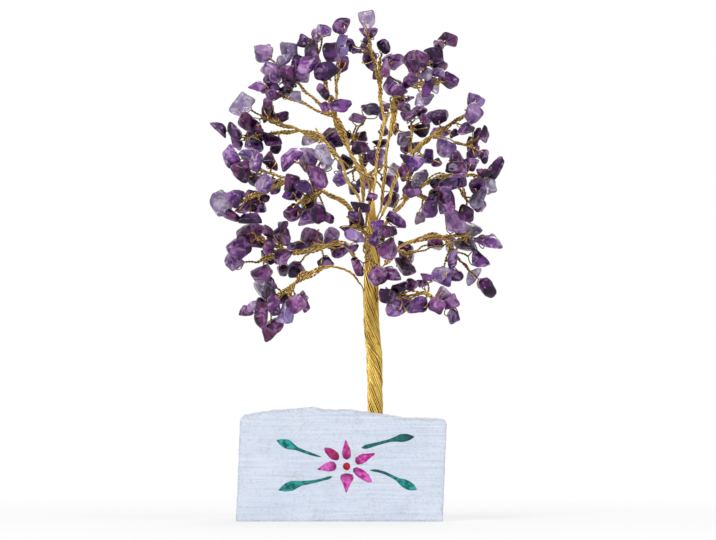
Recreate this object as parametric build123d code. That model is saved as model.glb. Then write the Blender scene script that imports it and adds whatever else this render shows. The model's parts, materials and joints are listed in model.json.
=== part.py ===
from build123d import *
import math
import os
import random

import numpy as np
from scipy.optimize import linear_sum_assignment

# Gemstone tree ornament: drilled amethyst chips on a twisted wire tree, set in a painted marble block.
# Origin at the middle of the block's underside, +X to the right, +Y away from the painted face, +Z up.

# Block of marble
base_width = 103.0
base_depth = 52.0
base_height = 54.0
base_lean = 2.0
base_edge = 1.5
bore_diameter = 9.4
bore_depth = 18.0

# Trunk of twisted wire
trunk_offset = 16.5
trunk_diameter = 7.4
trunk_height = 63.0
trunk_pitch = 57.0
exit_reach = 2.6
exit_rise = 4.4
root_run = 3.0
core_taper = 6.0

# Crown of chips
crown_width = 145.0
crown_height = 161.0
crown_depth = 110.0
chip_length = 9.4
chip_hole = 1.0
chip_wander = 5.0
chip_tilt = 18.0

# Wire
wire_diameter = 0.5
stem_bend = 0.7
stem_neck = 2.2
least_neck = 1.0
stem_step = 1.4
stem_straight = 0.7

# Painted flower
paint_thickness = 0.3
paint_scale = 0.5
flower_dot = 3.8
flower_dot_dome = 0.5
sprig_line = 0.9

# Clearances
wire_gap = 0.2
strand_gap = 0.06
root_gap = 0.15
glue_gap = 0.08
settle_gap = 0.5
settle_step = 1.0
overrun = 1.0
tiny = 1e-9

# How far each branch can be bent either way before its chips reach a neighbour, in degrees
bend_range = 8.0

# Shares of the sizes above
bundle_fill_share = 0.7
barrel_share = 0.8
chip_thickness_share = 0.74
chip_roundness_share = 0.9
chip_uneven_share = 0.06
chip_end_share = 0.97
corner_run_share = 0.45
flat_rim_share = 0.3
least_slope_share = 0.01
petal_foot_share = 0.3
petal_point_share = 0.12
petal_swell_share = 0.36
petal_tip_share = 0.97
sprig_taper_share = 0.6
stalk_back_share = 0.6
steep_share = 0.9
stem_back_share = 0.5
tip_start_share = 0.2
chip_points = 16
chip_blockiness = 3.2
path_samples = 24
golden_turn = math.pi * (3 - math.sqrt(5))

# Bends tried for a pair of branches, and which runs of a chip's wire are beside it or lead to it
bend_pairs = ((0, 0), (1, 0), (-1, 0), (0, 1), (0, -1), (1, 1), (-1, -1))
wire_legs = (0, 1, 2, 4, 5, 6)
wire_necks = (0, 1, 5, 6)

# Top of the block's front outline, as shares of its width and height
base_top_shares = (
    (0.00, 0.93), (0.01, 0.97), (0.09, 0.99), (0.18, 1.02), (0.28, 1.03), (0.35, 1.045),
    (0.42, 1.02), (0.53, 1.02), (0.63, 0.985), (0.71, 0.97), (0.80, 0.945), (0.88, 0.95),
    (0.985, 0.935), (1.00, 0.90),
)

# Pixel coordinates read by eye from the photograph
# The crown is placed from the fork at the trunk's top, and depth is guessed at the same scale
fork_px = (372.5, 288.0)
crown_px = (358.0, 174.0)
crown_width_px = 290.0
crown_height_px = 322.0
crown_depth_px = 220.0
chip_length_px = 17.0
flower_px = (340.0, 520.0)

# Depth bands keep neighbouring branches apart when one of them is bent
front_band = (-116, -46)
near_band = (-100, -3)
far_band = (3, 100)
back_band = (46, 116)

# One entry for each branch: fork height, the way its limb leaves the trunk in degrees seen from above,
# depth band, limb points as (x, y, depth), and twigs as (tip, chips)
# A chip is (x, y, length, width, turn), with its turn in degrees above the horizontal
branches = {
    "crown_top": {
        "fork": 200, "facing": 90, "band": far_band,
        "limb": ((377, 170, 8), (381, 128, 20), (382, 98, 24), (380, 82, 24)),
        "twigs": (
            ((369, 44, 12), (
                (367, 20, 17, 14, 95), (369, 32, 18, 10, 0), (366, 43, 14, 11, 80),
                (350, 44, 13, 9, -60), (356, 50, 11, 7, 0),
            )),
            ((380, 58, 34), (
                (369, 57, 18, 14, 20), (384, 46, 13, 9, -60), (376, 73, 10, 6, 90),
            )),
            ((389, 66, 22), (
                (386, 68, 18, 9, 90), (395, 59, 20, 13, -5),
            )),
            ((390, 112, 56), (
                (385, 105, 12, 9, 0), (384, 116, 9, 7, 0), (384, 132, 12, 9, 40),
            )),
        ),
    },
    "upper_left": {
        "fork": 216, "facing": 222, "band": near_band,
        "limb": ((364, 182, -18), (356, 160, -24), (345, 136, -28), (335, 118, -28)),
        "twigs": (
            ((288, 98, -34), (
                (273, 96, 16, 10, 0), (286, 92, 15, 10, 0), (260, 88, 15, 9, -25),
                (296, 97, 10, 9, 90), (290, 84, 12, 9, 0),
            )),
            ((276, 64, -16), (
                (265, 55, 17, 15, 100), (289, 52, 16, 14, 90), (284, 62, 13, 11, 0),
                (270, 69, 18, 9, 0), (268, 79, 15, 9, 90), (276, 76, 11, 9, 60),
                (287, 75, 14, 10, -40), (273, 87, 14, 10, 10), (300, 70, 20, 14, 80),
            )),
            ((318, 56, -44), (
                (307, 44, 14, 10, -30), (312, 53, 19, 9, 95), (308, 67, 20, 11, 90),
                (316, 36, 13, 9, 60), (324, 32, 12, 10, 0), (327, 73, 20, 13, -10),
            )),
            ((340, 52, -14), (
                (341, 26, 14, 12, 90), (331, 53, 15, 12, -70), (341, 43, 14, 8, 80),
                (342, 53, 12, 8, 0), (343, 65, 14, 9, 60),
            )),
            ((332, 98, -62), (
                (322, 93, 17, 8, -50), (325, 108, 8, 8, 0), (340, 106, 15, 12, -20),
            )),
        ),
    },
    "left_high": {
        "fork": 224, "facing": 150, "band": far_band,
        "limb": ((354, 190, 24), (340, 160, 32), (322, 140, 32), (300, 130, 32)),
        "twigs": (
            ((262, 116, 16), (
                (242, 105, 19, 15, 60), (250, 123, 17, 14, -30), (268, 104, 12, 9, 90),
                (267, 113, 14, 10, 80), (278, 116, 17, 11, 0),
            )),
            ((246, 138, 36), (
                (220, 128, 19, 8, -50), (235, 132, 18, 9, -50), (236, 142, 14, 7, -45),
                (254, 134, 15, 11, 0), (254, 145, 16, 11, -20), (270, 138, 18, 12, 10),
                (275, 147, 14, 10, 60),
            )),
            ((316, 128, 58), (
                (311, 137, 17, 9, 10), (331, 136, 19, 15, 0), (328, 148, 13, 8, 40),
            )),
        ),
    },
    "left": {
        "fork": 240, "facing": 200, "band": near_band,
        "limb": ((350, 208, -22), (328, 193, -30), (308, 184, -28), (290, 180, -28)),
        "twigs": (
            ((250, 166, -16), (
                (233, 160, 20, 13, -50), (247, 155, 18, 11, 0), (257, 163, 16, 11, 90),
                (244, 173, 20, 12, 85), (255, 180, 17, 12, 20), (267, 184, 19, 12, 60),
                (271, 162, 13, 12, -60),
            )),
            ((238, 204, -32), (
                (222, 204, 24, 15, 40), (236, 197, 16, 12, 20), (233, 216, 15, 8, -15),
                (245, 207, 12, 9, 0), (257, 197, 20, 10, 5), (258, 207, 14, 9, 0),
                (251, 219, 18, 9, 0), (276, 187, 12, 8, 80),
            )),
            ((306, 168, -62), (
                (292, 160, 19, 13, 30), (309, 159, 19, 16, 80), (318, 178, 18, 15, 40),
                (326, 156, 19, 12, 0), (328, 166, 17, 10, 10),
            )),
            ((298, 204, -50), (
                (293, 195, 14, 12, 80), (293, 211, 16, 13, 80), (307, 216, 16, 12, 0),
                (309, 201, 16, 12, 80), (318, 213, 18, 10, 80), (328, 218, 11, 7, 0),
                (291, 184, 14, 11, 80), (304, 188, 15, 10, 0),
            )),
        ),
    },
    "left_low": {
        "fork": 264, "facing": 165, "band": far_band,
        "limb": ((346, 244, 20), (324, 246, 28), (302, 252, 28), (288, 252, 28)),
        "twigs": (
            ((256, 236, 16), (
                (248, 230, 20, 16, 40), (255, 241, 18, 13, 0), (268, 231, 10, 9, 0),
                (238, 249, 21, 17, 60), (283, 226, 13, 8, 20), (279, 237, 18, 13, 0),
            )),
            ((256, 262, 38), (
                (233, 263, 15, 13, -30), (268, 246, 12, 10, 60), (269, 257, 14, 12, 0),
                (262, 274, 17, 15, 60), (283, 257, 15, 11, 0), (283, 268, 15, 9, 80),
            )),
            ((312, 246, 56), (
                (297, 247, 16, 12, 0), (312, 237, 20, 15, 60), (294, 269, 19, 12, 10),
                (325, 262, 13, 10, 20), (329, 238, 19, 12, 0), (339, 250, 15, 9, 0),
            )),
        ),
    },
    "lower_left": {
        "fork": 286, "facing": 196, "band": near_band,
        "limb": ((350, 268, -16), (330, 266, -24), (308, 275, -28), (294, 284, -28)),
        "twigs": (
            ((264, 304, -18), (
                (264, 290, 18, 13, -40), (271, 284, 11, 8, -45), (268, 299, 14, 11, 80),
                (256, 305, 14, 8, 30), (247, 311, 11, 9, 0), (262, 314, 20, 16, -60),
                (274, 306, 17, 11, 90), (272, 328, 20, 15, 30), (284, 298, 13, 10, 0),
            )),
            ((290, 296, -38), (
                (287, 312, 19, 13, 70), (297, 304, 16, 13, 0), (304, 301, 20, 9, -80),
            )),
        ),
    },
    "centre_high": {
        "fork": 218, "facing": 95, "band": back_band,
        "limb": ((370, 196, 34), (367, 178, 62), (362, 164, 82)),
        "twigs": (
            ((353, 134, 78), (
                (346, 132, 14, 9, -40), (358, 136, 17, 13, 0), (360, 147, 18, 12, 10),
                (358, 117, 15, 12, -20), (371, 108, 18, 12, 0),
            )),
            ((348, 172, 92), (
                (345, 162, 16, 13, 60), (340, 177, 18, 12, 10), (354, 188, 13, 10, 80),
                (366, 182, 20, 13, -15), (365, 158, 14, 7, 90),
            )),
            ((384, 164, 78), (
                (376, 155, 19, 16, 60), (381, 143, 14, 10, 30), (394, 168, 19, 11, -40),
                (392, 181, 20, 11, -40), (391, 199, 19, 14, 70),
            )),
        ),
    },
    "centre_low": {
        "fork": 264, "facing": 268, "band": front_band,
        "limb": ((370, 252, -34), (368, 242, -54), (366, 234, -68)),
        "twigs": (
            ((383, 239, -60), (
                (387, 250, 21, 17, 0), (389, 232, 16, 13, -20), (377, 226, 13, 9, 0),
                (397, 220, 20, 13, -30),
            )),
            ((354, 226, -72), (
                (361, 207, 19, 11, 0), (357, 221, 22, 12, -50), (346, 229, 12, 7, 0),
                (354, 238, 18, 13, -60), (352, 248, 15, 7, 0), (372, 197, 12, 8, 0),
                (375, 238, 17, 12, 70),
            )),
            ((370, 262, -64), (
                (357, 267, 18, 8, -70), (377, 277, 18, 15, 60), (391, 275, 16, 13, 30),
            )),
        ),
    },
    "top_right": {
        "fork": 208, "facing": 300, "band": near_band,
        "limb": ((385, 172, -22), (388, 132, -28), (396, 104, -28), (404, 86, -28)),
        "twigs": (
            ((418, 68, -38), (
                (411, 59, 16, 10, 60), (420, 62, 16, 12, 90), (413, 69, 12, 9, -40),
                (427, 75, 10, 9, 0),
            )),
            ((438, 54, -14), (
                (448, 40, 16, 12, -30), (438, 44, 12, 8, 45), (432, 56, 15, 13, -10),
            )),
            ((438, 84, -24), (
                (437, 75, 11, 10, 0), (450, 80, 20, 9, -50), (428, 88, 17, 9, 80),
                (434, 86, 13, 6, 50), (424, 100, 15, 12, 0), (438, 65, 14, 12, -60),
                (417, 75, 9, 7, 90),
            )),
            ((396, 92, -60), (
                (391, 88, 16, 14, -20), (409, 82, 16, 10, 45), (399, 92, 13, 9, 0),
                (403, 100, 14, 10, 0), (404, 107, 14, 10, 0),
            )),
        ),
    },
    "right_high": {
        "fork": 222, "facing": 40, "band": far_band,
        "limb": ((392, 190, 24), (404, 162, 32), (418, 144, 32), (434, 134, 32)),
        "twigs": (
            ((412, 122, 54), (
                (410, 115, 17, 11, 20), (420, 110, 17, 10, 30), (426, 118, 14, 9, 0),
                (421, 128, 18, 15, 0), (394, 127, 12, 9, 60), (404, 138, 15, 12, 60),
            )),
            ((466, 114, 26), (
                (476, 100, 17, 13, -20), (474, 113, 17, 14, 30), (466, 128, 18, 11, 10),
                (453, 133, 10, 7, 20), (439, 116, 17, 14, 40), (441, 132, 19, 12, 0),
            )),
            ((474, 148, 14), (
                (484, 134, 18, 8, 80), (478, 135, 15, 7, 95), (473, 144, 15, 9, 60),
                (474, 154, 15, 13, 60), (484, 157, 14, 10, -60), (446, 146, 19, 16, 40),
            )),
            ((424, 154, 68), (
                (419, 146, 18, 10, 80), (408, 146, 13, 10, 60), (430, 155, 14, 12, 70),
                (438, 161, 11, 8, 0),
            )),
        ),
    },
    "right": {
        "fork": 234, "facing": 320, "band": near_band,
        "limb": ((398, 204, -22), (420, 186, -30), (436, 178, -30), (450, 176, -30)),
        "twigs": (
            ((484, 176, -14), (
                (495, 168, 19, 10, 60), (484, 173, 13, 7, 0), (488, 185, 16, 11, -10),
                (477, 186, 14, 11, -30), (470, 164, 15, 11, 0),
            )),
            ((458, 168, -34), (
                (455, 160, 13, 11, 0), (456, 169, 17, 11, 0), (457, 181, 15, 13, -30),
            )),
            ((408, 178, -68), (
                (413, 163, 19, 14, 0), (405, 172, 15, 9, 0), (418, 178, 17, 10, 30),
                (411, 191, 13, 11, 0),
            )),
            ((434, 202, -50), (
                (437, 196, 16, 12, 60), (446, 201, 19, 13, -75), (429, 206, 19, 12, 55),
                (420, 217, 17, 9, 90), (446, 185, 15, 12, 30), (436, 186, 12, 9, 30),
            )),
            ((468, 202, -24), (
                (466, 214, 13, 11, 0), (476, 199, 17, 11, -70), (480, 206, 12, 9, 20),
            )),
        ),
    },
    "right_low": {
        "fork": 268, "facing": 15, "band": far_band,
        "limb": ((394, 250, 18), (412, 240, 26), (430, 236, 28), (444, 236, 28)),
        "twigs": (
            ((470, 236, 16), (
                (454, 221, 22, 17, 70), (468, 231, 19, 12, 0), (467, 244, 19, 12, 0),
                (488, 242, 21, 13, -35),
            )),
            ((458, 258, 38), (
                (453, 258, 19, 8, 88), (479, 259, 18, 12, -50), (441, 276, 17, 15, 0),
                (454, 276, 15, 13, 80), (474, 276, 17, 9, 70), (488, 288, 19, 12, -45),
            )),
            ((408, 256, 52), (
                (407, 252, 18, 12, 60), (405, 266, 17, 13, 10), (437, 241, 18, 12, 0),
                (451, 243, 14, 8, 90),
            )),
        ),
    },
    "lower_right": {
        "fork": 292, "facing": 340, "band": near_band,
        "limb": ((392, 294, -18), (408, 294, -26), (424, 292, -28)),
        "twigs": (
            ((399, 298, -36), (
                (387, 296, 16, 13, -30), (399, 288, 16, 13, 0), (393, 309, 18, 14, 40),
                (404, 305, 17, 15, 60), (411, 285, 12, 10, 0),
            )),
            ((444, 306, -20), (
                (418, 305, 17, 14, -10), (443, 294, 19, 12, -10), (437, 305, 16, 14, 60),
                (450, 302, 14, 11, -40), (453, 315, 19, 9, -80), (427, 278, 13, 8, 0),
                (422, 284, 13, 8, 0),
            )),
        ),
    },
}

# Painted flower and leaves, as (start, end, widest width) of each stroke
petals_px = (
    ((347, 458), (346, 439), 9.5), ((356, 462), (375, 453), 10), ((354, 467), (372, 481), 10),
    ((347, 472), (347, 491), 14), ((337, 465), (318, 468), 11), ((339, 458), (325, 447), 10),
)
dot_px = (347, 465.5)
leaves_px = (
    ((295, 448), (278, 440), 9, (322, 456)), ((399, 437), (414, 436), 8, (362, 447)),
    ((297, 484), (280, 488), 10, (333, 476)), ((401, 480), (417, 488), 9, (370, 469)),
)

# Sizes worked out from the ones above
wire_radius = wire_diameter / 2
leg_half = wire_radius + strand_gap
strand_count = len(branches) - 1
strand_spread = math.sin(math.pi / strand_count) * math.cos(math.atan(math.pi * trunk_diameter / trunk_pitch))
strand_orbit = (trunk_diameter + strand_gap) / 2 / (1 + strand_spread)
strand_radius = strand_orbit * strand_spread - strand_gap / 2
core_radius = strand_orbit - strand_radius - strand_gap
width_scale = crown_width / crown_width_px
height_scale = crown_height / crown_height_px
depth_scale = crown_depth / crown_depth_px
chip_scale = chip_length / chip_length_px
swing_reach = crown_height * math.radians(bend_range)


def base_top_at(x):
    """Height of the block's top at a distance right of its middle."""
    across, up = zip(*base_top_shares)
    return base_height * float(np.interp(x / base_width + 1 / 2, across, up))


trunk_foot = base_top_at(trunk_offset)
bore_floor = trunk_foot - bore_depth
fork_height = trunk_foot + trunk_height


def crown_place(x, y, depth):
    """A point of the crown from its pixel coordinates."""
    return Vector(
        trunk_offset + (x - fork_px[0]) * width_scale,
        depth * depth_scale,
        fork_height + (fork_px[1] - y) * height_scale,
    )


def bundle_radius(chips):
    """Radius of the twisted bundle that holds the wires of so many chips."""
    wires = max(chips / 2, 2)
    return wire_radius * math.sqrt(wires / bundle_fill_share)


def rounded_path(points, most=None):
    """Straight runs joined by tangent arcs as large as the runs allow."""
    radii = []
    for before, here, after in zip(points, points[1:], points[2:]):
        run = min((here - before).length, (after - here).length)
        turn = math.radians((here - before).get_angle(after - here))
        radius = corner_run_share * run / math.tan(turn / 2)
        radii.append(min(radius, most) if most else radius)
    return FilletPolyline(*points, radius=radii)


def tube(path, radius):
    """A round bar along a path."""
    return sweep(Plane(path @ 0, z_dir=path % 0) * Circle(radius), path=path)


def rod(start, end, radius):
    """A straight round bar."""
    along = Plane(start, z_dir=end - start)
    return along * Cylinder(radius, (end - start).length, align=(Align.CENTER, Align.CENTER, Align.MIN))


def save(node, solids):
    """Write one node as separate solids."""
    export_step(Compound(children=list(solids)), os.path.join("parts", node + ".step"))
    print(node, len(solids))


# Block


def make_base():
    """The block: its front outline run straight back, with worn upright edges and a bore for the trunk."""
    half = base_width / 2
    outline = [(-half, 0)]
    for across, up in base_top_shares:
        outline.append((across * base_width - half + base_lean * up, up * base_height))
    outline.append((half, 0))
    face_plane = Plane((0, base_depth / 2, 0), x_dir=(1, 0, 0), z_dir=(0, -1, 0))
    block = extrude(face_plane * make_face(Polyline(*outline, close=True)), base_depth)
    upright = [e for e in block.edges() if abs(e.tangent_at(1 / 2).Z) > steep_share and e.length > base_height / 2]
    block = chamfer(upright, base_edge)
    bore = Pos(trunk_offset, 0, bore_floor) * Cylinder(
        bore_diameter / 2, base_height, align=(Align.CENTER, Align.CENTER, Align.MIN)
    )
    return block - bore


def make_glue():
    """The ring of set adhesive between the trunk and its bore."""
    outer = Cylinder(bore_diameter / 2 - glue_gap, bore_depth, align=(Align.CENTER, Align.CENTER, Align.MIN))
    inner = Cylinder(trunk_diameter / 2 + glue_gap, bore_depth, align=(Align.CENTER, Align.CENTER, Align.MIN))
    return Pos(trunk_offset, 0, bore_floor) * (outer - inner)


# Paint


def paint_place(pixel):
    """A point on the painted face, right of its middle and above its foot."""
    return Vector((pixel[0] - flower_px[0]) * paint_scale, (flower_px[1] - pixel[1]) * paint_scale)


paint_plane = Plane((0, -base_depth / 2, 0), x_dir=(1, 0, 0), z_dir=(0, -1, 0))


def stroke(discs):
    """One brush stroke: the outline stretched round a few discs, each a place and a diameter."""
    rims = []
    for place, diameter in discs:
        rims += (Pos(place.X, place.Y) * Circle(diameter / 2)).edges()
    return make_hull(rims)


def make_petal(start, top, width):
    """A petal that is widest near the flower's middle and runs out to a point."""
    base, tip = paint_place(start), paint_place(top)
    widest = width * paint_scale
    swell = base + (tip - base) * petal_swell_share
    end = base + (tip - base) * petal_tip_share
    shape = stroke(((base, widest * petal_foot_share), (swell, widest), (end, widest * petal_point_share)))
    return extrude(paint_plane * shape, paint_thickness)


def make_sprig(start, end, width, stem):
    """A leaf with its stem."""
    base, tip, foot = paint_place(start), paint_place(end), paint_place(stem)
    widest = width * paint_scale
    leaf = stroke(((base, sprig_line), ((base + tip) / 2, widest), (tip, sprig_line)))
    line = stroke(((base, sprig_line), (foot, sprig_line * sprig_taper_share)))
    return extrude(paint_plane * (leaf + line), paint_thickness)


def make_dot():
    """The flower's raised middle."""
    middle = paint_place(dot_px)
    spread = (flower_dot / 2) ** 2
    radius = (spread + flower_dot_dome**2) / (2 * flower_dot_dome)
    ball = Pos(middle.X, middle.Y, flower_dot_dome - radius) * Sphere(radius)
    slab = Pos(middle.X, middle.Y) * Cylinder(
        flower_dot, flower_dot_dome + overrun, align=(Align.CENTER, Align.CENTER, Align.MIN)
    )
    return paint_plane * (ball & slab)


# Trunk


def helix_point(start_angle, height):
    """A point of a strand's centre line and its direction there."""
    turn = 2 * math.pi / trunk_pitch
    angle = start_angle - turn * (height - bore_floor)
    point = Vector(
        trunk_offset + strand_orbit * math.cos(angle), strand_orbit * math.sin(angle), height
    )
    swing = -turn * strand_orbit
    return point, Vector(-swing * math.sin(angle), swing * math.cos(angle), 1).normalized()


def biarc(start, start_way, end, end_way):
    """Two tangent arcs from one point and direction to another."""
    chord = end - start
    both = start_way + end_way
    square = both.dot(both) - 4
    middle = -2 * chord.dot(both)
    reach = (-middle - math.sqrt(middle**2 - 4 * square * chord.dot(chord))) / (2 * square)
    join = (start + start_way * reach + end - end_way * reach) / 2
    first = Edge.make_tangent_arc(start, start_way, join)
    return [first, Edge.make_tangent_arc(join, first % 1, end)]


def pick_strands():
    """Give each limb the strand that comes round to its side nearest its fork: start angle and height."""
    names = [name for name in branches if name != "crown_top"]
    heights = np.zeros((len(names), strand_count))
    wanted = np.zeros((len(names), 1))
    for row, name in enumerate(names):
        wanted[row] = crown_place(0, branches[name]["fork"], 0).Z - exit_rise
        for slot in range(strand_count):
            away = slot / strand_count - branches[name]["facing"] / 360
            turns = round((wanted[row, 0] - bore_floor) / trunk_pitch - away)
            heights[row, slot] = bore_floor + (away + turns) * trunk_pitch
    rows, slots = linear_sum_assignment((heights - wanted) ** 2)
    return {
        names[row]: (2 * math.pi * slot / strand_count, heights[row, slot]) for row, slot in zip(rows, slots)
    }


def make_strand(start_angle, height):
    """A strand wound up the trunk by quarter turns, then bent out to its limb. Gives its path too."""
    foot = bore_floor + glue_gap + strand_radius
    steps = math.ceil((height - foot) / (trunk_pitch / 4))
    edges = []
    levels = np.linspace(foot, height, steps + 1)
    for low, high in zip(levels, levels[1:]):
        edges += biarc(*helix_point(start_angle, low), *helix_point(start_angle, high))
    top, way = helix_point(start_angle, height)
    axis = Vector(trunk_offset, 0, height)
    outward = (top - axis).normalized()
    end = top + outward * exit_reach + Vector(0, 0, exit_rise)
    edges.append(Edge.make_tangent_arc(top, way, end))
    path = Wire(edges)
    return tube(path, strand_radius), end, edges[-1] % 1


def make_core(height):
    """The inner wires, which run on past the last fork as the top branch."""
    straight = height - core_taper - bore_floor - glue_gap
    foot = Pos(trunk_offset, 0, bore_floor + glue_gap)
    shaft = foot * Cylinder(core_radius, straight, align=(Align.CENTER, Align.CENTER, Align.MIN))
    tip = bundle_radius(chips_on("crown_top"))
    cone = foot * Pos(0, 0, straight) * Cone(
        core_radius, tip, core_taper, align=(Align.CENTER, Align.CENTER, Align.MIN)
    )
    return shaft + cone


def chips_on(name):
    """How many chips a branch carries."""
    return sum(len(chips) for _, chips in branches[name]["twigs"])


# Branches


def to_array(vectors):
    """Vectors as rows of numbers."""
    return np.array([tuple(v) for v in vectors])


def bent(points, hinge, degrees):
    """Points turned about the hinge's axis, which runs along Y."""
    angle = math.radians(degrees)
    away = points - hinge
    turned = away.copy()
    turned[..., 0] = away[..., 0] * math.cos(angle) + away[..., 2] * math.sin(angle)
    turned[..., 2] = away[..., 2] * math.cos(angle) - away[..., 0] * math.sin(angle)
    return turned + hinge


def bar_gaps(a0, a1, b0, b1):
    """Least distances between straight lines, for every pairing of the rows."""
    a0, a1, b0, b1 = a0[:, None], a1[:, None], b0[None], b1[None]
    da, db, r = a1 - a0, b1 - b0, a0 - b0
    a = np.maximum((da * da).sum(-1), tiny)
    e = np.maximum((db * db).sum(-1), tiny)
    b, c, f = (da * db).sum(-1), (da * r).sum(-1), (db * r).sum(-1)
    wide = a * e - b * b
    s = np.clip(np.where(wide > tiny, (b * f - c * e) / np.maximum(wide, tiny), 0), 0, 1)
    t = np.clip((b * s + f) / e, 0, 1)
    s = np.clip((b * t - c) / a, 0, 1)
    apart = r + da * s[..., None] - db * t[..., None]
    return np.sqrt((apart * apart).sum(-1))


class Crown:
    """Every bar and chip laid so far, as round-ended bars, so that the next one can keep clear of them."""

    def __init__(self):
        self.start, self.end, self.radius, self.branch, self.twig = [], [], [], [], []
        self.hinges = {}

    def lay(self, start, end, radius, branch, twig):
        self.start.append(tuple(start))
        self.end.append(tuple(end))
        self.radius.append(radius)
        self.branch.append(branch)
        self.twig.append(twig)

    def around(self, starts, ends):
        """The laid bars that can come near some others when a branch is bent, as arrays."""
        b0, b1 = np.array(self.start), np.array(self.end)
        low = np.minimum(starts, ends).min(axis=0) - swing_reach
        high = np.maximum(starts, ends).max(axis=0) + swing_reach
        close = (np.maximum(b0, b1) > low).all(axis=1) & (np.minimum(b0, b1) < high).all(axis=1)
        return (
            b0[close], b1[close], np.array(self.radius)[close],
            np.array(self.branch)[close], np.array(self.twig)[close],
        )

    def room(self, starts, ends, radius, branch, own_twig=""):
        """Free room round each of some bars of a branch, at rest and with either side bent."""
        b0, b1, reach, owner, twig = self.around(starts, ends)
        used = twig != own_twig
        free = np.full(len(starts), crown_width)
        for other in sorted(set(owner[used])):
            group = used & (owner == other)
            bends = bend_pairs if other != branch else ((0, 0),)
            for own_bend, other_bend in bends:
                moved = bend_range * own_bend, bend_range * other_bend * (other != "trunk")
                gaps = bar_gaps(
                    bent(starts, self.hinges[branch], moved[0]), bent(ends, self.hinges[branch], moved[0]),
                    bent(b0[group], self.hinges[other], moved[1]),
                    bent(b1[group], self.hinges[other], moved[1]),
                )
                free = np.minimum(free, (gaps - reach[group]).min(axis=1))
        return free - radius


crown = Crown()
crown.hinges["trunk"] = np.zeros(3)


def barrel_of(name):
    """Radius and half length of the barrel at a limb's root."""
    radius = bundle_radius(chips_on(name)) + wire_gap / 2
    return radius, radius * barrel_share


def place_root(name, end, way):
    """The middle of a limb's barrel, just clear of the wire it carries on."""
    radius, half = barrel_of(name)
    reach = radius * math.hypot(way.X, way.Z) + half * abs(way.Y)
    return end + way * (reach + root_gap)


def make_limb(name, root, way):
    """The limb: a barrel at its root, where it bends, and a bar along its points. Gives its centre line."""
    radius = bundle_radius(chips_on(name))
    points = [root, root + way * root_run] + [crown_place(*p) for p in branches[name]["limb"]]
    path = rounded_path(points)
    barrel_radius, half = barrel_of(name)
    barrel = Plane(root, z_dir=(0, 1, 0)) * Cylinder(barrel_radius, 2 * half)
    knot = Pos(*points[-1]) * Sphere(barrel_radius)
    line = to_array([path @ (i / path_samples) for i in range(path_samples + 1)])
    for here, there in zip(line[1:], line[2:]):
        crown.lay(here, there, barrel_radius, name, "limb")
    return tube(path, radius) + barrel + knot, line


def take_off(line, tip):
    """Where a stalk leaves a limb: some way back from the nearest point to its tip, or the limb's end."""
    runs = np.linalg.norm(np.diff(line, axis=0), axis=1)
    travel = np.concatenate(([0], np.cumsum(runs)))
    away = np.linalg.norm(line - tip, axis=1)
    nearest = int(away.argmin())
    if nearest == len(line) - 1:
        return line[-1], line[-1] - line[-2], True
    back = max(travel[nearest] - stalk_back_share * away[nearest], travel[-1] / 4)
    index = min(int(np.searchsorted(travel, back)), len(line) - 1)
    origin = np.array([np.interp(back, travel, line[:, i]) for i in range(3)])
    return origin, line[index] - line[index - 1], False


def lay_stalks(name, line):
    """Straight stalks from the limb to each twig's tip, started clear of the limb."""
    limb_radius = barrel_of(name)[0]
    stalks = []
    for tip, chips in branches[name]["twigs"]:
        end = np.array(tuple(crown_place(*tip)))
        origin, along, at_end = take_off(line, end)
        radius = bundle_radius(len(chips))
        way = (end - origin) / np.linalg.norm(end - origin)
        cosine = abs(float(way @ along)) / np.linalg.norm(along)
        sine = math.sqrt(max(1 - cosine**2, least_slope_share))
        clear = (limb_radius + wire_gap + radius * cosine) / sine
        if at_end:
            clear = limb_radius + wire_gap
        start = origin + way * clear
        free = crown.room(start[None], end[None], radius, name, "limb")[0]
        if free < settle_gap:
            print("tight stalk", name, tip, round(float(free), 2))
        stalks.append((start, end, radius))
    for number, (start, end, radius) in enumerate(stalks):
        crown.lay(start, end, radius, name, f"{name} {number}")
    return stalks


def chip_corners(size, turn, tilt, draw):
    """Corners of a tumbled chip about its middle: a blocky egg with uneven facets."""
    corners = []
    for i in range(chip_points):
        height = 1 - (2 * i + 1) / chip_points + draw.uniform(-1, 1) * chip_uneven_share
        height = max(-chip_end_share, min(chip_end_share, height))
        angle = (golden_turn + draw.uniform(-1, 1) * chip_uneven_share) * i
        ring = math.sqrt(1 - height * height)
        way = np.array((height, ring * math.cos(angle), ring * math.sin(angle)))
        blocky = (np.abs(way) ** chip_blockiness).sum() ** (-1 / chip_blockiness)
        corners.append(way * blocky * draw.uniform(chip_roundness_share, 1))
    corners = np.array(corners)
    corners = corners / np.abs(corners).max(axis=0) * np.array(size) / 2
    long_way = np.array((math.cos(turn), 0, math.sin(turn)))
    flat_way = np.array((0, 1, 0)) * math.cos(tilt) + np.cross(long_way, (0, 1, 0)) * math.sin(tilt)
    return corners @ np.array((long_way, np.cross(flat_way, long_way), flat_way))


def stem_start(way, stalk_way, radius, back):
    """How far along a stem its wire starts, clear of the stalk's side or past its tip."""
    cosine = float(way @ stalk_way)
    sine = math.sqrt(max(1 - cosine * cosine, least_slope_share))
    beside = (radius + wire_gap + (wire_radius + leg_half) * abs(cosine)) / sine
    if cosine < tip_start_share:
        return beside
    return min(beside, (back + wire_gap + (wire_radius + leg_half) * sine) / cosine)


def hole_way(way):
    """The way a chip is drilled: across its stem and as near to straight back as that allows."""
    across = np.array((0.0, 1.0, 0.0)) if abs(way[1]) < steep_share else np.array((0.0, 0.0, 1.0))
    across = across - way * (across @ way)
    return across / np.linalg.norm(across)


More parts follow.
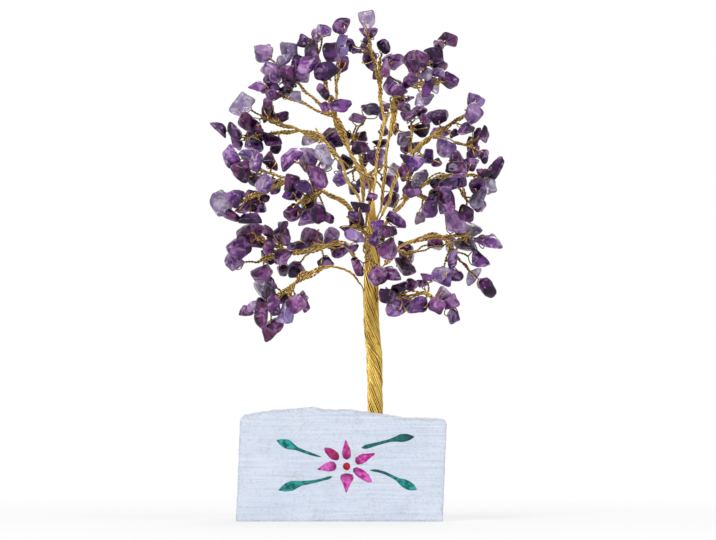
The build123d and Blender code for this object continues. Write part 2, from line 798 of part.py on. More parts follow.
def plan_wire(middle, corners, foot, stalk_way, radius, back):
    """Points of a chip's wire: up beside the stalk, round the chip, through its hole and back down.

    Gives the length to spare in its straight part as well.
    """
    reach = np.linalg.norm(middle - foot)
    way = (middle - foot) / reach
    across = hole_way(way)
    out = wire_radius + wire_gap
    near = out - (corners @ way).min()
    begin = stem_start(way, stalk_way, radius, back)
    straight = reach - near - begin
    neck = max(min(stem_neck, straight - stem_straight), least_neck)
    points = []
    for side, sign in (((corners @ across).max() + out, 1), ((corners @ across).min() - out, -1)):
        leg = [
            foot + way * begin + across * leg_half * sign,
            middle - way * (near + neck) + across * leg_half * sign,
            middle - way * near + across * side,
            middle + across * side,
        ]
        points += leg if sign > 0 else leg[::-1]
    return np.array(points), straight - least_neck - stem_straight


def depth_range(name, x, y):
    """How far forward and back a branch's chips may lie at a place, in the rounded crown."""
    low, high = branches[name]["band"]
    beyond = 1 - ((x - crown_px[0]) * 2 / crown_width_px) ** 2 - ((y - crown_px[1]) * 2 / crown_height_px) ** 2
    round_limit = crown_depth_px / 2 * math.sqrt(max(beyond, flat_rim_share))
    return max(low, -round_limit) * depth_scale, min(high, round_limit) * depth_scale


def settle(name, number, chips, stalk, draw):
    """Give each chip of a twig the depth nearest its liking that is clear of all that is laid."""
    start, end, radius = stalk
    own = f"{name} {number}"
    length = np.linalg.norm(end - start)
    stalk_way = (end - start) / length
    step = min(stem_step, length / (len(chips) + 1))
    places = []
    for chip in chips:
        flat = np.array(tuple(crown_place(chip[0], chip[1], 0)))
        flat[1] = end[1]
        along = float((flat - start) @ stalk_way)
        aside = np.linalg.norm(flat - start - stalk_way * along)
        places.append((along - stem_back_share * aside, flat, chip))
    places.sort(key=lambda place: -place[0])
    settled = []
    last = length + step
    for along, flat, chip in places:
        last = max(min(along, last - step), step)
        foot = start + stalk_way * last
        size = chip_scale * np.array((chip[2], chip[3], chip[3] * chip_thickness_share))
        turn, tilt = math.radians(chip[4]), math.radians(draw.uniform(-chip_tilt, chip_tilt))
        corners = chip_corners(size, turn, tilt, draw)
        half = (size[0] - size[1]) / 2 * np.array((math.cos(turn), 0, math.sin(turn)))
        thick = size[1] / 2
        low, high = depth_range(name, chip[0], chip[1])
        liking = end[1] + draw.uniform(-chip_wander, chip_wander)
        depths = np.arange(low + thick, high - thick + settle_step / 2, settle_step)
        middles = np.repeat(flat[None], len(depths), axis=0)
        middles[:, 1] = depths
        plans = [plan_wire(middle, corners, foot, stalk_way, radius, length - last) for middle in middles]
        wires = np.array([points for points, _ in plans])
        room = crown.room(middles - half, middles + half, thick, name)
        room = np.minimum(room, np.array([spare for _, spare in plans]) + settle_gap)
        for place in wire_legs:
            twig = own if place in wire_necks else ""
            legs = crown.room(wires[:, place], wires[:, place + 1], wire_radius, name, twig)
            room = np.minimum(room, legs + settle_gap - wire_gap)
        cost = np.abs(depths - liking) + crown_height * np.maximum(settle_gap - room, 0)
        best = int(cost.argmin())
        if room[best] < settle_gap:
            print("tight", name, chip, round(float(room[best]), 2))
        crown.lay(middles[best] - half, middles[best] + half, thick, name, "chip")
        for place in wire_legs:
            crown.lay(wires[best, place], wires[best, place + 1], wire_radius, name, own)
        settled.append((middles[best], corners, wires[best]))
    return settled


def make_chip(middle, corners, wire):
    """A chip with the hole that its wire goes through."""
    stone = ConvexPolyhedron([tuple(middle + corner) for corner in corners])
    through = Vector(*(wire[3] - wire[4]))
    drill = Plane(tuple(middle), z_dir=through) * Cylinder(chip_hole / 2, through.length)
    return stone - drill


def make_stem(wire):
    """A chip's wire, one length bent round the chip."""
    return tube(rounded_path([Vector(*p) for p in wire], stem_bend), wire_radius)


os.makedirs("parts", exist_ok=True)
save("base_block", [make_base()])
save("socket_glue", [make_glue()])
save("flower_petals", [make_petal(*petal) for petal in petals_px])
save("flower_centre", [make_dot()])
save("leaf_sprigs", [make_sprig(*leaf) for leaf in leaves_px])

# Strands first, then limbs and stalks, so that every chip can be settled clear of all the wire
strands = {name: make_strand(*place) for name, place in pick_strands().items()}
core_top = crown_place(0, branches["crown_top"]["fork"], 0).Z
save("trunk_core", [make_core(core_top)])
save("trunk_strands", [strand for strand, _, _ in strands.values()])
crown.lay((trunk_offset, 0, 0), (trunk_offset, 0, core_top), trunk_diameter / 2, "trunk", "trunk")

limbs, stalks, settled = {}, {}, {}
for name in branches:
    end, way = Vector(trunk_offset, 0, core_top), Vector(0, 0, 1)
    if name in strands:
        end, way = strands[name][1:]
    root = place_root(name, end, way)
    crown.hinges[name] = np.array(tuple(root))
    limbs[name] = make_limb(name, root, way)
for name in branches:
    stalks[name] = lay_stalks(name, limbs[name][1])
for name, branch in branches.items():
    draw = random.Random(name)
    settled[name] = []
    for number, (stalk, (_, chips)) in enumerate(zip(stalks[name], branch["twigs"])):
        settled[name] += settle(name, number, chips, stalk, draw)
for name in branches:
    save("limb_" + name, [limbs[name][0]])
    save("twigs_" + name, [rod(Vector(*start), Vector(*end), radius) for start, end, radius in stalks[name]])
    save("chip_wires_" + name, [make_stem(wire) for _, _, wire in settled[name]])
    save("chips_" + name, [make_chip(*chip) for chip in settled[name]])
    print("hinge", name, [round(float(value), 3) for value in crown.hinges[name]])
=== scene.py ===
# Gemstone tree: tumbled violet stones on twisted brass wire, in a sawn marble block with a painted flower
import json
import math
import random

import bmesh
import bpy
import numpy as np
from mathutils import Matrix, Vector, noise


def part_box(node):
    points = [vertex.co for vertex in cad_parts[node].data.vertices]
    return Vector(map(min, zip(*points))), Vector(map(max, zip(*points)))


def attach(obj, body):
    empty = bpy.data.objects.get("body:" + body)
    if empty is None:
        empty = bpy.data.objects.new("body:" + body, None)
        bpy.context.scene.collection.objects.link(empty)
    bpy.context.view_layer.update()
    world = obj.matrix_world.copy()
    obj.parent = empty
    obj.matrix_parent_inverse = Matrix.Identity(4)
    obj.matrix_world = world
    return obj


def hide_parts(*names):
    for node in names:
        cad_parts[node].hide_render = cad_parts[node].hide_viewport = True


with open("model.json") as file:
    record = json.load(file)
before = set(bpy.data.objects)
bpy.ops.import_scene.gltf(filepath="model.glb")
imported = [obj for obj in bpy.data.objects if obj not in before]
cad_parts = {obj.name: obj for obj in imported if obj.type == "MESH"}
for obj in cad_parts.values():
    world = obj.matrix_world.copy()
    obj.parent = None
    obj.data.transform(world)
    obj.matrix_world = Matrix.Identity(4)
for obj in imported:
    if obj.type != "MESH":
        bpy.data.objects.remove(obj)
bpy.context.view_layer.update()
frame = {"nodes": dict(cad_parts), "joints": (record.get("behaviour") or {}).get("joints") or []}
nodes = frame["nodes"]
hinges = {joint["child"]: np.array(joint["pos_m"]) for joint in frame["joints"]}
mm = 0.001
fullTurn = 2 * math.pi
print("frame loaded,", len(nodes), "nodes")

coreLow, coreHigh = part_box("trunk_core")
trunkX = (coreLow.x + coreHigh.x) / 2
view = {
    "size": (716, 540), "perPixel": 0.5 * mm, "forkPx": 372.5, "coreTopPx": 200.0, "distance": 4.0, "sensor": 36.0,
    "clip": (0.05, 50.0),
}


def placeOf(x, y, depth=0.0):  # photograph pixel and guessed depth to a point of the tree
    return np.array((
        trunkX + (x - view["forkPx"]) * view["perPixel"],
        depth * view["perPixel"],
        coreHigh.z + (view["coreTopPx"] - y) * view["perPixel"],
    ))


def pixelOf(place):
    return np.array((
        view["forkPx"] + (place[0] - trunkX) / view["perPixel"],
        view["coreTopPx"] + (coreHigh.z - place[2]) / view["perPixel"],
    ))


# node building helpers


def feed(tree, value, socket):  # a link where the value is an output, else a constant
    if hasattr(value, "is_output"):
        tree.links.new(value, socket)
    elif socket.type == "RGBA":
        socket.default_value = (*value, 1)
    else:
        socket.default_value = value


def feedAll(tree, sockets, values):
    for label, value in values.items():
        feed(tree, value, sockets[label])


def addNode(tree, kind, **values):
    made = tree.nodes.new(kind)
    for key, value in values.items():
        if hasattr(made, key):
            setattr(made, key, value)
        else:
            feed(tree, value, made.inputs[key])
    return made


def newGroup(name, colors, numbers, outputs):
    tree = bpy.data.node_groups.new(name, "ShaderNodeTree")
    addSocket = tree.interface.new_socket
    for label in colors:
        addSocket(name=label, in_out="INPUT", socket_type="NodeSocketColor")
    for label, value in numbers.items():
        addSocket(name=label, in_out="INPUT", socket_type="NodeSocketFloat").default_value = value
    for label in outputs:
        kind = "NodeSocketColor" if label == "Color" else "NodeSocketFloat"
        addSocket(name=label, in_out="OUTPUT", socket_type=kind)
    return tree, tree.nodes.new("NodeGroupInput").outputs, tree.nodes.new("NodeGroupOutput").inputs


def mixColors(tree, factor, first, second):
    mix = addNode(tree, "ShaderNodeMix", data_type="RGBA")
    for index, value in ((0, factor), (6, first), (7, second)):  # the node's sockets for colours
        feed(tree, value, mix.inputs[index])
    return mix.outputs[2]


def layered(tree, color, layers):  # each layer is an amount and the colour it brings
    for amount, tone in layers:
        color = mixColors(tree, amount, color, tone)
    return color


def calc(tree, operation, *values, kind="ShaderNodeMath", **options):
    made = addNode(tree, kind, operation=operation, **options)
    for socket, value in zip(made.inputs, values):
        feed(tree, value, socket)
    return made.outputs[0]


def scaledXyz(tree, values, factors):
    made = addNode(tree, "ShaderNodeCombineXYZ")
    for socket, value, factor in zip(made.inputs, values, factors):
        feed(tree, calc(tree, "MULTIPLY", value, factor), socket)
    return made.outputs[0]


def spread(tree, value, low, high, toLow=0.0, toHigh=1.0):
    made = addNode(tree, "ShaderNodeMapRange", clamp=True)
    feedAll(tree, made.inputs, {
        "Value": value, "From Min": low, "From Max": high, "To Min": toLow, "To Max": toHigh,
    })
    return made.outputs["Result"]


def noiseOf(tree, coords, **values):
    return addNode(tree, "ShaderNodeTexNoise", Vector=coords, **values).outputs["Fac"]


def objectCoords(tree):
    return addNode(tree, "ShaderNodeTexCoord").outputs["Object"]


def attributeOf(tree, name):
    return addNode(tree, "ShaderNodeAttribute", attribute_name=name).outputs["Fac"]


def groupOf(tree, group, look=None, **attributes):  # a shared effect, fed from a look and mesh attributes
    made = addNode(tree, "ShaderNodeGroup", node_tree=group)
    values = {**(look or {}), **{label: attributeOf(tree, name) for label, name in attributes.items()}}
    for socket in made.inputs:
        if socket.name.lower() in values:
            feed(tree, values[socket.name.lower()], socket)
    return made.outputs


def newMaterial(name):
    material = bpy.data.materials.new(name)
    material.use_nodes = True
    return material, material.node_tree


def dress(material, height, strength, distance, values):  # feeds the shader's sockets and its bump
    tree = material.node_tree
    bump = addNode(tree, "ShaderNodeBump", Strength=strength, Distance=distance, Height=height)
    feedAll(tree, tree.nodes["Principled BSDF"].inputs, {"Normal": bump.outputs["Normal"], **values})
    return material


# shared effects


def buildCloudGroup():  # colour zones, veils and polish of a quartz stone
    tree, source, sink = newGroup(
        "stoneClouds", ("Deep", "Body", "Veil", "Warm", "Cool"),
        {"Scale": 230.0, "Veils": 0.5, "Seed": 0.0, "Zone": 0.0}, ("Color", "Roughness", "Height"),
    )
    seed, zone, scale = source["Seed"], source["Zone"], source["Scale"]
    shift = scaledXyz(tree, (seed, seed, seed), (0.31, 0.17, 0.23))
    moved = calc(tree, "ADD", objectCoords(tree), shift, kind="ShaderNodeVectorMath")
    zones = noiseOf(
        tree, moved, Scale=calc(tree, "MULTIPLY", scale, 0.9), Detail=2.0, Roughness=0.5, Distortion=0.5
    )
    veils = noiseOf(
        tree, moved, Scale=calc(tree, "MULTIPLY", scale, 1.15), Detail=3.0, Roughness=0.5, Distortion=0.9
    )
    pits = noiseOf(tree, moved, Scale=1400.0, Detail=2.0)
    hue = layered(tree, source["Body"], (
        (spread(tree, seed, 0.6, 1.0, 0.0, 0.8), source["Warm"]),
        (spread(tree, seed, 0.44, 0.0, 0.0, 0.8), source["Cool"]),
    ))
    banded = calc(tree, "ADD", zones, calc(tree, "MULTIPLY", zone, 0.13))
    body = mixColors(tree, spread(tree, banded, 0.40, 0.58), source["Deep"], hue)
    clouded = calc(tree, "ADD", veils, calc(tree, "MULTIPLY", zone, 0.10))
    veilMask = calc(tree, "MULTIPLY", spread(tree, clouded, 0.53, 0.70), source["Veils"], use_clamp=True)
    feedAll(tree, sink, {
        "Color": mixColors(tree, veilMask, body, source["Veil"]),
        "Roughness": spread(tree, pits, 0.3, 0.75, 0.06, 0.17), "Height": zones,
    })
    return tree


def buildWireGroup():  # drawn wire: tone from wire to wire, tarnish in patches, fine draw marks, and painted shade where the wires of a bundle meet
    tree, source, sink = newGroup(
        "drawnWire", ("Gold", "Copper", "Olive", "Crease"), {"Tint": 0.5, "Depth": 0.0, "Tarnish": 0.5},
        ("Color", "Roughness", "Height"),
    )
    coords = objectCoords(tree)
    patches = noiseOf(tree, coords, Scale=210.0, Detail=3.0, Roughness=0.6)
    dull = calc(tree, "MULTIPLY", spread(tree, patches, 0.42, 0.72), source["Tarnish"], use_clamp=True)
    feedAll(tree, sink, {
        "Color": layered(tree, source["Gold"], (
            (spread(tree, source["Tint"], 0.62, 1.0), source["Copper"]),
            (spread(tree, source["Tint"], 0.38, 0.0), source["Olive"]),
            # painted shade: Depth darkens the wire towards its shade colour
            (dull, source["Olive"]), (source["Depth"], source["Crease"]),
        )),
        "Roughness": spread(tree, patches, 0.3, 0.75, 0.24, 0.46),
        "Height": noiseOf(tree, coords, Scale=2600.0, Detail=2.0),
    })
    return tree


def buildSawGroup():  # level saw lines of the block, which also show through its paint
    tree, source, sink = newGroup("sawLines", (), {"Scale": 1.0}, ("Lines", "Grain", "Height"))
    coords = objectCoords(tree)
    level = calc(tree, "MULTIPLY", coords, (26.0, 120.0, 900.0), kind="ShaderNodeVectorMath")
    lines = noiseOf(tree, level, Scale=source["Scale"], Detail=5.0, Roughness=0.62, Distortion=0.25)
    grain = noiseOf(tree, coords, Scale=900.0, Detail=3.0, Roughness=0.7)
    both = calc(tree, "ADD", lines, calc(tree, "MULTIPLY", grain, 0.35))
    feedAll(tree, sink, {"Lines": lines, "Grain": grain, "Height": both})
    return tree


cloudGroup = buildCloudGroup()
wireGroup = buildWireGroup()
sawGroup = buildSawGroup()

# finishes

stoneTones = {
    "pale": {"deep": (0.26, 0.17, 0.36), "body": (0.56, 0.46, 0.63), "veil": (0.86, 0.82, 0.88),
             "warm": (0.55, 0.38, 0.48), "cool": (0.42, 0.38, 0.62), "glint": (0.95, 0.92, 0.97),
             "veils": 0.9, "through": 0.5},
    "lilac": {"deep": (0.11, 0.035, 0.18), "body": (0.42, 0.23, 0.53), "veil": (0.74, 0.60, 0.78),
              "warm": (0.40, 0.17, 0.38), "cool": (0.22, 0.15, 0.50), "glint": (0.85, 0.75, 0.92),
              "veils": 0.85, "through": 0.25},
    "grey": {"deep": (0.055, 0.027, 0.075), "body": (0.25, 0.17, 0.27), "veil": (0.56, 0.50, 0.56),
             "warm": (0.24, 0.13, 0.19), "cool": (0.15, 0.13, 0.27), "glint": (0.80, 0.75, 0.85),
             "veils": 0.75, "through": 0.2},
    "violet": {"deep": (0.028, 0.004, 0.050), "body": (0.21, 0.055, 0.28), "veil": (0.56, 0.34, 0.62),
               "warm": (0.28, 0.070, 0.21), "cool": (0.11, 0.045, 0.28), "glint": (0.75, 0.60, 0.85),
               "veils": 0.85, "through": 0.12},
    "dark": {"deep": (0.010, 0.001, 0.013), "body": (0.100, 0.022, 0.120), "veil": (0.38, 0.19, 0.42),
             "warm": (0.14, 0.030, 0.085), "cool": (0.050, 0.020, 0.12), "glint": (0.70, 0.55, 0.78),
             "veils": 0.8, "through": 0.05},
}


def buildStone(tone):
    look = stoneTones[tone]
    material, tree = newMaterial(tone + "Quartz")
    clouds = groupOf(tree, cloudGroup, look, seed="stoneSeed", zone="stoneZone")
    return dress(material, clouds["Height"], 0.12, 0.6 * mm, {
        "Base Color": clouds["Color"], "Roughness": clouds["Roughness"], "Transmission Weight": look["through"],
        "IOR": 1.54, "Specular IOR Level": 0.45, "Specular Tint": look["glint"],
    })


# each finish's last colour is the painted shade where the wires of a bundle meet
wireLooks = {
    "trunkBrass": {"gold": (0.84, 0.59, 0.15), "copper": (0.58, 0.27, 0.05), "olive": (0.38, 0.28, 0.06),
                   "crease": (0.13, 0.055, 0.007), "tarnish": 0.35},
    "branchBrass": {"gold": (0.90, 0.62, 0.18), "copper": (0.76, 0.36, 0.10), "olive": (0.44, 0.32, 0.10),
                    "crease": (0.08, 0.036, 0.008), "tarnish": 0.5},
}


def buildWire(name):
    material, tree = newMaterial(name)
    # the wire's depth attribute is its painted shade
    drawn = groupOf(tree, wireGroup, wireLooks[name], tint="wireTint", depth="wireDepth")
    return dress(material, drawn["Height"], 0.2, 0.05 * mm, {
        "Base Color": drawn["Color"], "Roughness": drawn["Roughness"], "Metallic": 1.0,
    })


marbleLook = {"dim": (0.62, 0.69, 0.81), "clear": (0.70, 0.76, 0.87), "line": (0.47, 0.53, 0.64),
              "dust": (0.86, 0.88, 0.91), "bruise": (0.50, 0.52, 0.55), "speck": (0.46, 0.50, 0.58)}


def buildMarble():
    look = marbleLook
    material, tree = newMaterial("sawnMarble")
    saw = groupOf(tree, sawGroup)
    lines, grain = saw["Lines"], saw["Grain"]
    cloud = noiseOf(tree, objectCoords(tree), Scale=38.0, Detail=4.0, Roughness=0.55, Distortion=0.8)
    chips = spread(tree, grain, 0.42, 0.60, 0.15, 0.95)
    color = layered(tree, look["dim"], (
        (spread(tree, cloud, 0.34, 0.68), look["clear"]),
        (spread(tree, lines, 0.50, 0.68, 0.0, 0.5), look["line"]),
        (spread(tree, lines, 0.46, 0.30, 0.0, 0.45), look["dust"]),
        (calc(tree, "MULTIPLY", attributeOf(tree, "edgeWear"), chips), look["bruise"]),
        (spread(tree, grain, 0.54, 0.70, 0.0, 0.65), look["speck"]),
    ))
    return dress(material, saw["Height"], 0.45, 0.3 * mm, {
        "Base Color": color, "Roughness": spread(tree, grain, 0.3, 0.7, 0.5, 0.8),
    })


paintLooks = {
    "petalPaint": {"thick": (0.33, 0.008, 0.15), "thin": (0.66, 0.055, 0.43), "wash": (0.74, 0.16, 0.58),
                   "other": (0.30, 0.008, 0.07), "first": (0.17, 0.004, 0.08), "rim": 0.1, "start": 0.85,
                   "reach": 1.2},
    "centrePaint": {"thick": (0.22, 0.003, 0.012), "thin": (0.42, 0.004, 0.024), "wash": (0.52, 0.020, 0.060),
                    "other": (0.34, 0.008, 0.018), "first": (0.38, 0.008, 0.022), "rim": 0.4, "start": 0.2,
                    "reach": 1.1},
    "leafPaint": {"thick": (0.002, 0.055, 0.052), "thin": (0.003, 0.37, 0.36), "wash": (0.06, 0.52, 0.48),
                  "other": (0.003, 0.055, 0.062), "first": (0.002, 0.090, 0.090), "rim": 0.25, "start": 0.8,
                  "reach": 2.4},
}


def buildPaint(name):
    look = paintLooks[name]
    material, tree = newMaterial(name)
    saw = groupOf(tree, sawGroup)
    along, across, tone = [attributeOf(tree, label) for label in ("strokeAlong", "strokeAcross", "strokeTone")]
    stroke = scaledXyz(tree, (along, across, tone), (1.6, 7.0, 9.0))
    bristles = noiseOf(tree, stroke, Scale=1.0, Detail=3.0, Roughness=0.6)
    pools = noiseOf(tree, objectCoords(tree), Scale=430.0, Detail=2.0, Roughness=0.55)
    rim = calc(tree, "POWER", calc(tree, "ABSOLUTE", across), 3.0)
    color = layered(tree, look["thick"], (
        (spread(tree, bristles, 0.42, 0.55), look["thin"]),
        (spread(tree, pools, 0.44, 0.58, 0.0, 0.85), look["wash"]),
        (spread(tree, pools, 0.46, 0.36, 0.0, 0.7), look["thick"]),
        (tone, look["other"]),
        (calc(tree, "MULTIPLY", rim, look["rim"]), look["thick"]),
        (spread(tree, along, look["reach"], 0.1, 0.0, look["start"]), look["first"]),
    ))
    both = calc(tree, "ADD", bristles, calc(tree, "MULTIPLY", saw["Lines"], 0.8))
    return dress(material, both, 0.5, 0.25 * mm, {
        "Base Color": color, "Roughness": spread(tree, saw["Grain"], 0.3, 0.7, 0.28, 0.5),
        "Specular IOR Level": 0.25,
    })


glueLook = {"yellowed": (0.62, 0.56, 0.42), "milky": (0.80, 0.78, 0.70)}


def buildGlue():
    material, tree = newMaterial("setGlue")
    grain = groupOf(tree, sawGroup)["Grain"]
    return dress(material, grain, 0.3, 0.2 * mm, {
        "Base Color": mixColors(tree, grain, glueLook["yellowed"], glueLook["milky"]),
        "Roughness": spread(tree, grain, 0.3, 0.7, 0.2, 0.45),
    })


stoneMaterials = {tone: buildStone(tone) for tone in stoneTones}
wireMaterials = {name: buildWire(name) for name in wireLooks}
paintMaterials = {name: buildPaint(name) for name in paintLooks}
marbleMaterial = buildMarble()
glueMaterial = buildGlue()
print("materials ready")

# mesh helpers


def islandsOf(nodeName):  # corner points of each separate solid of a CAD node, in order
    mesh = nodes[nodeName].data
    places = np.zeros(len(mesh.vertices) * 3)
    mesh.vertices.foreach_get("co", places)
    places = places.reshape(-1, 3)
    ends = np.zeros(len(mesh.edges) * 2, int)
    mesh.edges.foreach_get("vertices", ends)
    merged = np.unique(np.round(places, 6), axis=0, return_inverse=True)[1].ravel()
    first, second = merged[ends[0::2]], merged[ends[1::2]]
    label = np.arange(merged.max() + 1)
    changed = True
    while changed:
        low = np.minimum(label[first], label[second])
        before = label.copy()
        np.minimum.at(label, first, low)
        np.minimum.at(label, second, low)
        label = label[label]
        changed = bool((label != before).any())
    own = label[merged]
    names, starts = np.unique(own, return_index=True)
    return [places[own == names[i]] for i in np.argsort(starts)]


def addObject(name, data):
    made = bpy.data.objects.new(name, data)
    bpy.context.scene.collection.objects.link(made)
    return made


def makePiece(name, verts, faces, materials, body, replaced, floats=None, faceSlots=None):
    mesh = bpy.data.meshes.new(name)
    mesh.from_pydata([tuple(v) for v in verts], [], faces)
    for material in materials:
        mesh.materials.append(material)
    if faceSlots is not None:
        mesh.polygons.foreach_set("material_index", faceSlots)
    mesh.polygons.foreach_set("use_smooth", [True] * len(mesh.polygons))
    for label, values in (floats or {}).items():
        layer = mesh.attributes.new(label, "FLOAT", "POINT")
        layer.data.foreach_set("value", np.asarray(values, np.float32))
    mesh.update()
    piece = addObject(name, mesh)
    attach(piece, body)
    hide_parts(*replaced)


def unit(v):
    return v / max(np.linalg.norm(v), 1e-12)


def gapsTo(points, place):
    return np.linalg.norm(points - place, axis=1)


def boxMiddle(points):
    return (points.max(axis=0) + points.min(axis=0)) / 2


def anyPhase(draw):  # where a wave starts
    return draw.uniform(0, 6.3)


def anyPlace(draw, span):
    return Vector((draw.uniform(0, span), draw.uniform(0, span), draw.uniform(0, span)))


def anyWay(draw):
    return np.array([draw.gauss(0, 1) for _ in range(3)])


def resample(line, step):
    line = np.asarray(line, float)
    travel = np.concatenate(([0.0], np.cumsum(np.linalg.norm(np.diff(line, axis=0), axis=1))))
    count = max(int(round(travel[-1] / step)), 2)
    marks = np.linspace(0.0, travel[-1], count + 1)
    return np.stack([np.interp(marks, travel, line[:, i]) for i in range(3)], axis=1), marks


def cutCorners(line, rounds):  # softens a run of given points
    line = np.asarray(line, float)
    for _ in range(rounds):
        near = line[:-1] * 0.75 + line[1:] * 0.25
        far = line[:-1] * 0.25 + line[1:] * 0.75
        line = np.concatenate((line[:1], np.stack((near, far), axis=1).reshape(-1, 3), line[-1:]))
    return line


def framesAlong(line):  # two steady side directions at each point
    ways = np.gradient(line, axis=0)
    ways /= np.linalg.norm(ways, axis=1)[:, None]
    side = np.cross(ways[0], (0.3, 0.9, 0.2))
    sides = []
    for way in ways:
        side = unit(side - way * (side @ way))
        sides.append(side)
    sides = np.array(sides)
    return sides, np.cross(ways, sides)


def newStore(*labels):
    return {"verts": [], "faces": [], "count": 0, **{label: [] for label in labels}}


crease = {"edge": 0.66, "soft": 0.75, "most": 0.95}  # painted shade: how the dark side of each wire is spread, where the wires of a bundle meet
wireSides = 6


def addTube(store, line, radius, sides, tint, heart=None, shade=0.0):  # heart: the bundle's middle line, which the painted shade faces
    line = np.asarray(line, float)
    radius = np.broadcast_to(np.asarray(radius, float), (len(line),))
    one, two = framesAlong(line)
    turn = np.linspace(0, fullTurn, sides, endpoint=False)
    ring = np.cos(turn)[None, :, None] * one[:, None] + np.sin(turn)[None, :, None] * two[:, None]
    rims = line[:, None] + ring * radius[:, None, None]
    # painted shade: depth is an even shade, or darker on the side of each wire that faces the heart line
    depth = np.full((len(line), sides), shade)
    if heart is not None:
        out = line - heart
        out /= np.maximum(np.linalg.norm(out, axis=1), 1e-9)[:, None]
        depth = np.clip((crease["edge"] - (ring * out[:, None]).sum(axis=2)) / crease["soft"], 0, crease["most"])
    grid = store["count"] + np.arange(len(line) * sides).reshape(len(line), sides)
    after = np.roll(grid, -1, axis=1)
    quads = np.stack((grid[:-1], after[:-1], after[1:], grid[1:]), axis=-1).reshape(-1, 4)
    store["faces"] += quads.tolist() + [grid[0][::-1].tolist(), grid[-1].tolist()]
    store["verts"].append(rims.reshape(-1, 3))
    store["tint"] += [tint] * grid.size
    store["depth"] += depth.ravel().tolist()
    store["count"] += grid.size


def kinked(line, amount, size, draw):  # hand-bent wire is never quite straight
    seed = anyPlace(draw, 99)
    apart = [Vector((0, 0, 37.3 * axis)) for axis in range(3)]  # so that x, y and z bend unlike each other
    calm = np.sin(np.linspace(0, 1, len(line)) * math.pi) ** 0.6 * amount
    drift = [[noise.noise(Vector(p) / size + seed + away) for away in apart] for p in line]
    return line + calm[:, None] * np.array(drift)


def outAt(angle, one, two):  # the way out from each point of a line, at an angle round it
    return np.cos(angle)[:, None] * one + np.sin(angle)[:, None] * two


twist = {"loose": 0.28, "looseRate": 2.3, "lag": 0.25, "lagRate": 1.3, "wide": 1.2, "core": 0.5}


def addTwist(store, line, count, orbit, radius, pitch, draw, thin, step=0.9 * mm, rooted=None):
    line, marks = resample(line, step)
    orbit = orbit * np.linspace(1.0, thin, len(line))
    if rooted:
        orbit = orbit * np.interp(marks, *zip(*rooted))
    one, two = framesAlong(line)
    start = draw.uniform(0, fullTurn)
    for index in range(count):
        phase = start + fullTurn * index / count
        loose = orbit * (1 + twist["loose"] * np.sin(marks / pitch * twist["looseRate"] + anyPhase(draw)))
        lag = twist["lag"] * np.sin(marks / pitch * twist["lagRate"] + anyPhase(draw))
        angle = phase - fullTurn * marks / pitch + lag
        # painted shade on each wire's side that faces the bundle's middle
        addTube(store, line + loose[:, None] * outAt(angle, one, two), radius, wireSides, draw.random(), line)
    if orbit.max() > twist["wide"] * radius:  # a wide bundle is not hollow
        core = np.maximum(orbit - radius * twist["core"], radius * twist["core"])
        # the core tube is painted dark on most sides, painted shade inside the bundle
        addTube(store, line, core, wireSides, 0.0, line + one)


def wirePiece(name, store, finish, body, replaced):
    makePiece(
        name, np.concatenate(store["verts"]), store["faces"], [wireMaterials[finish]], body, replaced,
        # the depth values are each point's painted shade
        {"wireTint": store["tint"], "wireDepth": store["depth"]},
    )


# block

block = {
    "topShares": (
        (0.00, 0.925), (0.008, 0.95), (0.02, 0.972), (0.09, 0.99), (0.18, 1.02), (0.28, 1.03), (0.35, 1.045),
        (0.42, 1.02), (0.53, 1.02), (0.63, 0.985), (0.71, 0.97), (0.80, 0.945), (0.88, 0.95),
        (0.98, 0.935), (0.992, 0.92), (1.00, 0.90),
    ),
    "width": 103 * mm, "depth": 52 * mm, "height": 54 * mm, "lean": 2 * mm, "cuts": 84,
    "edge": 0.9 * mm, "edgeSize": 4 * mm, "footEdge": 0.6, "chipped": 1.8 * mm, "chipSize": 9 * mm,
    "wearReach": 2.2 * mm, "wearSize": 3 * mm, "topRough": 0.75 * mm, "topSize": 5 * mm,
    "wave": 0.5 * mm, "waveSize": 26 * mm, "backDrop": 0.45 * mm, "sideRough": 0.10 * mm, "sawSize": 1.1 * mm,
    "backRough": 0.3 * mm, "backSize": 14 * mm, "endRough": 0.4 * mm, "endSize": 12 * mm,
}


def topOf(x):
    across, up = zip(*block["topShares"])
    return block["height"] * np.interp(x / block["width"] + 0.5, across, up)


def roughness(place, size, octaves):
    return noise.fractal(Vector(place) / size, 0.7, 2.1, octaves, noise_basis="PERLIN_ORIGINAL")


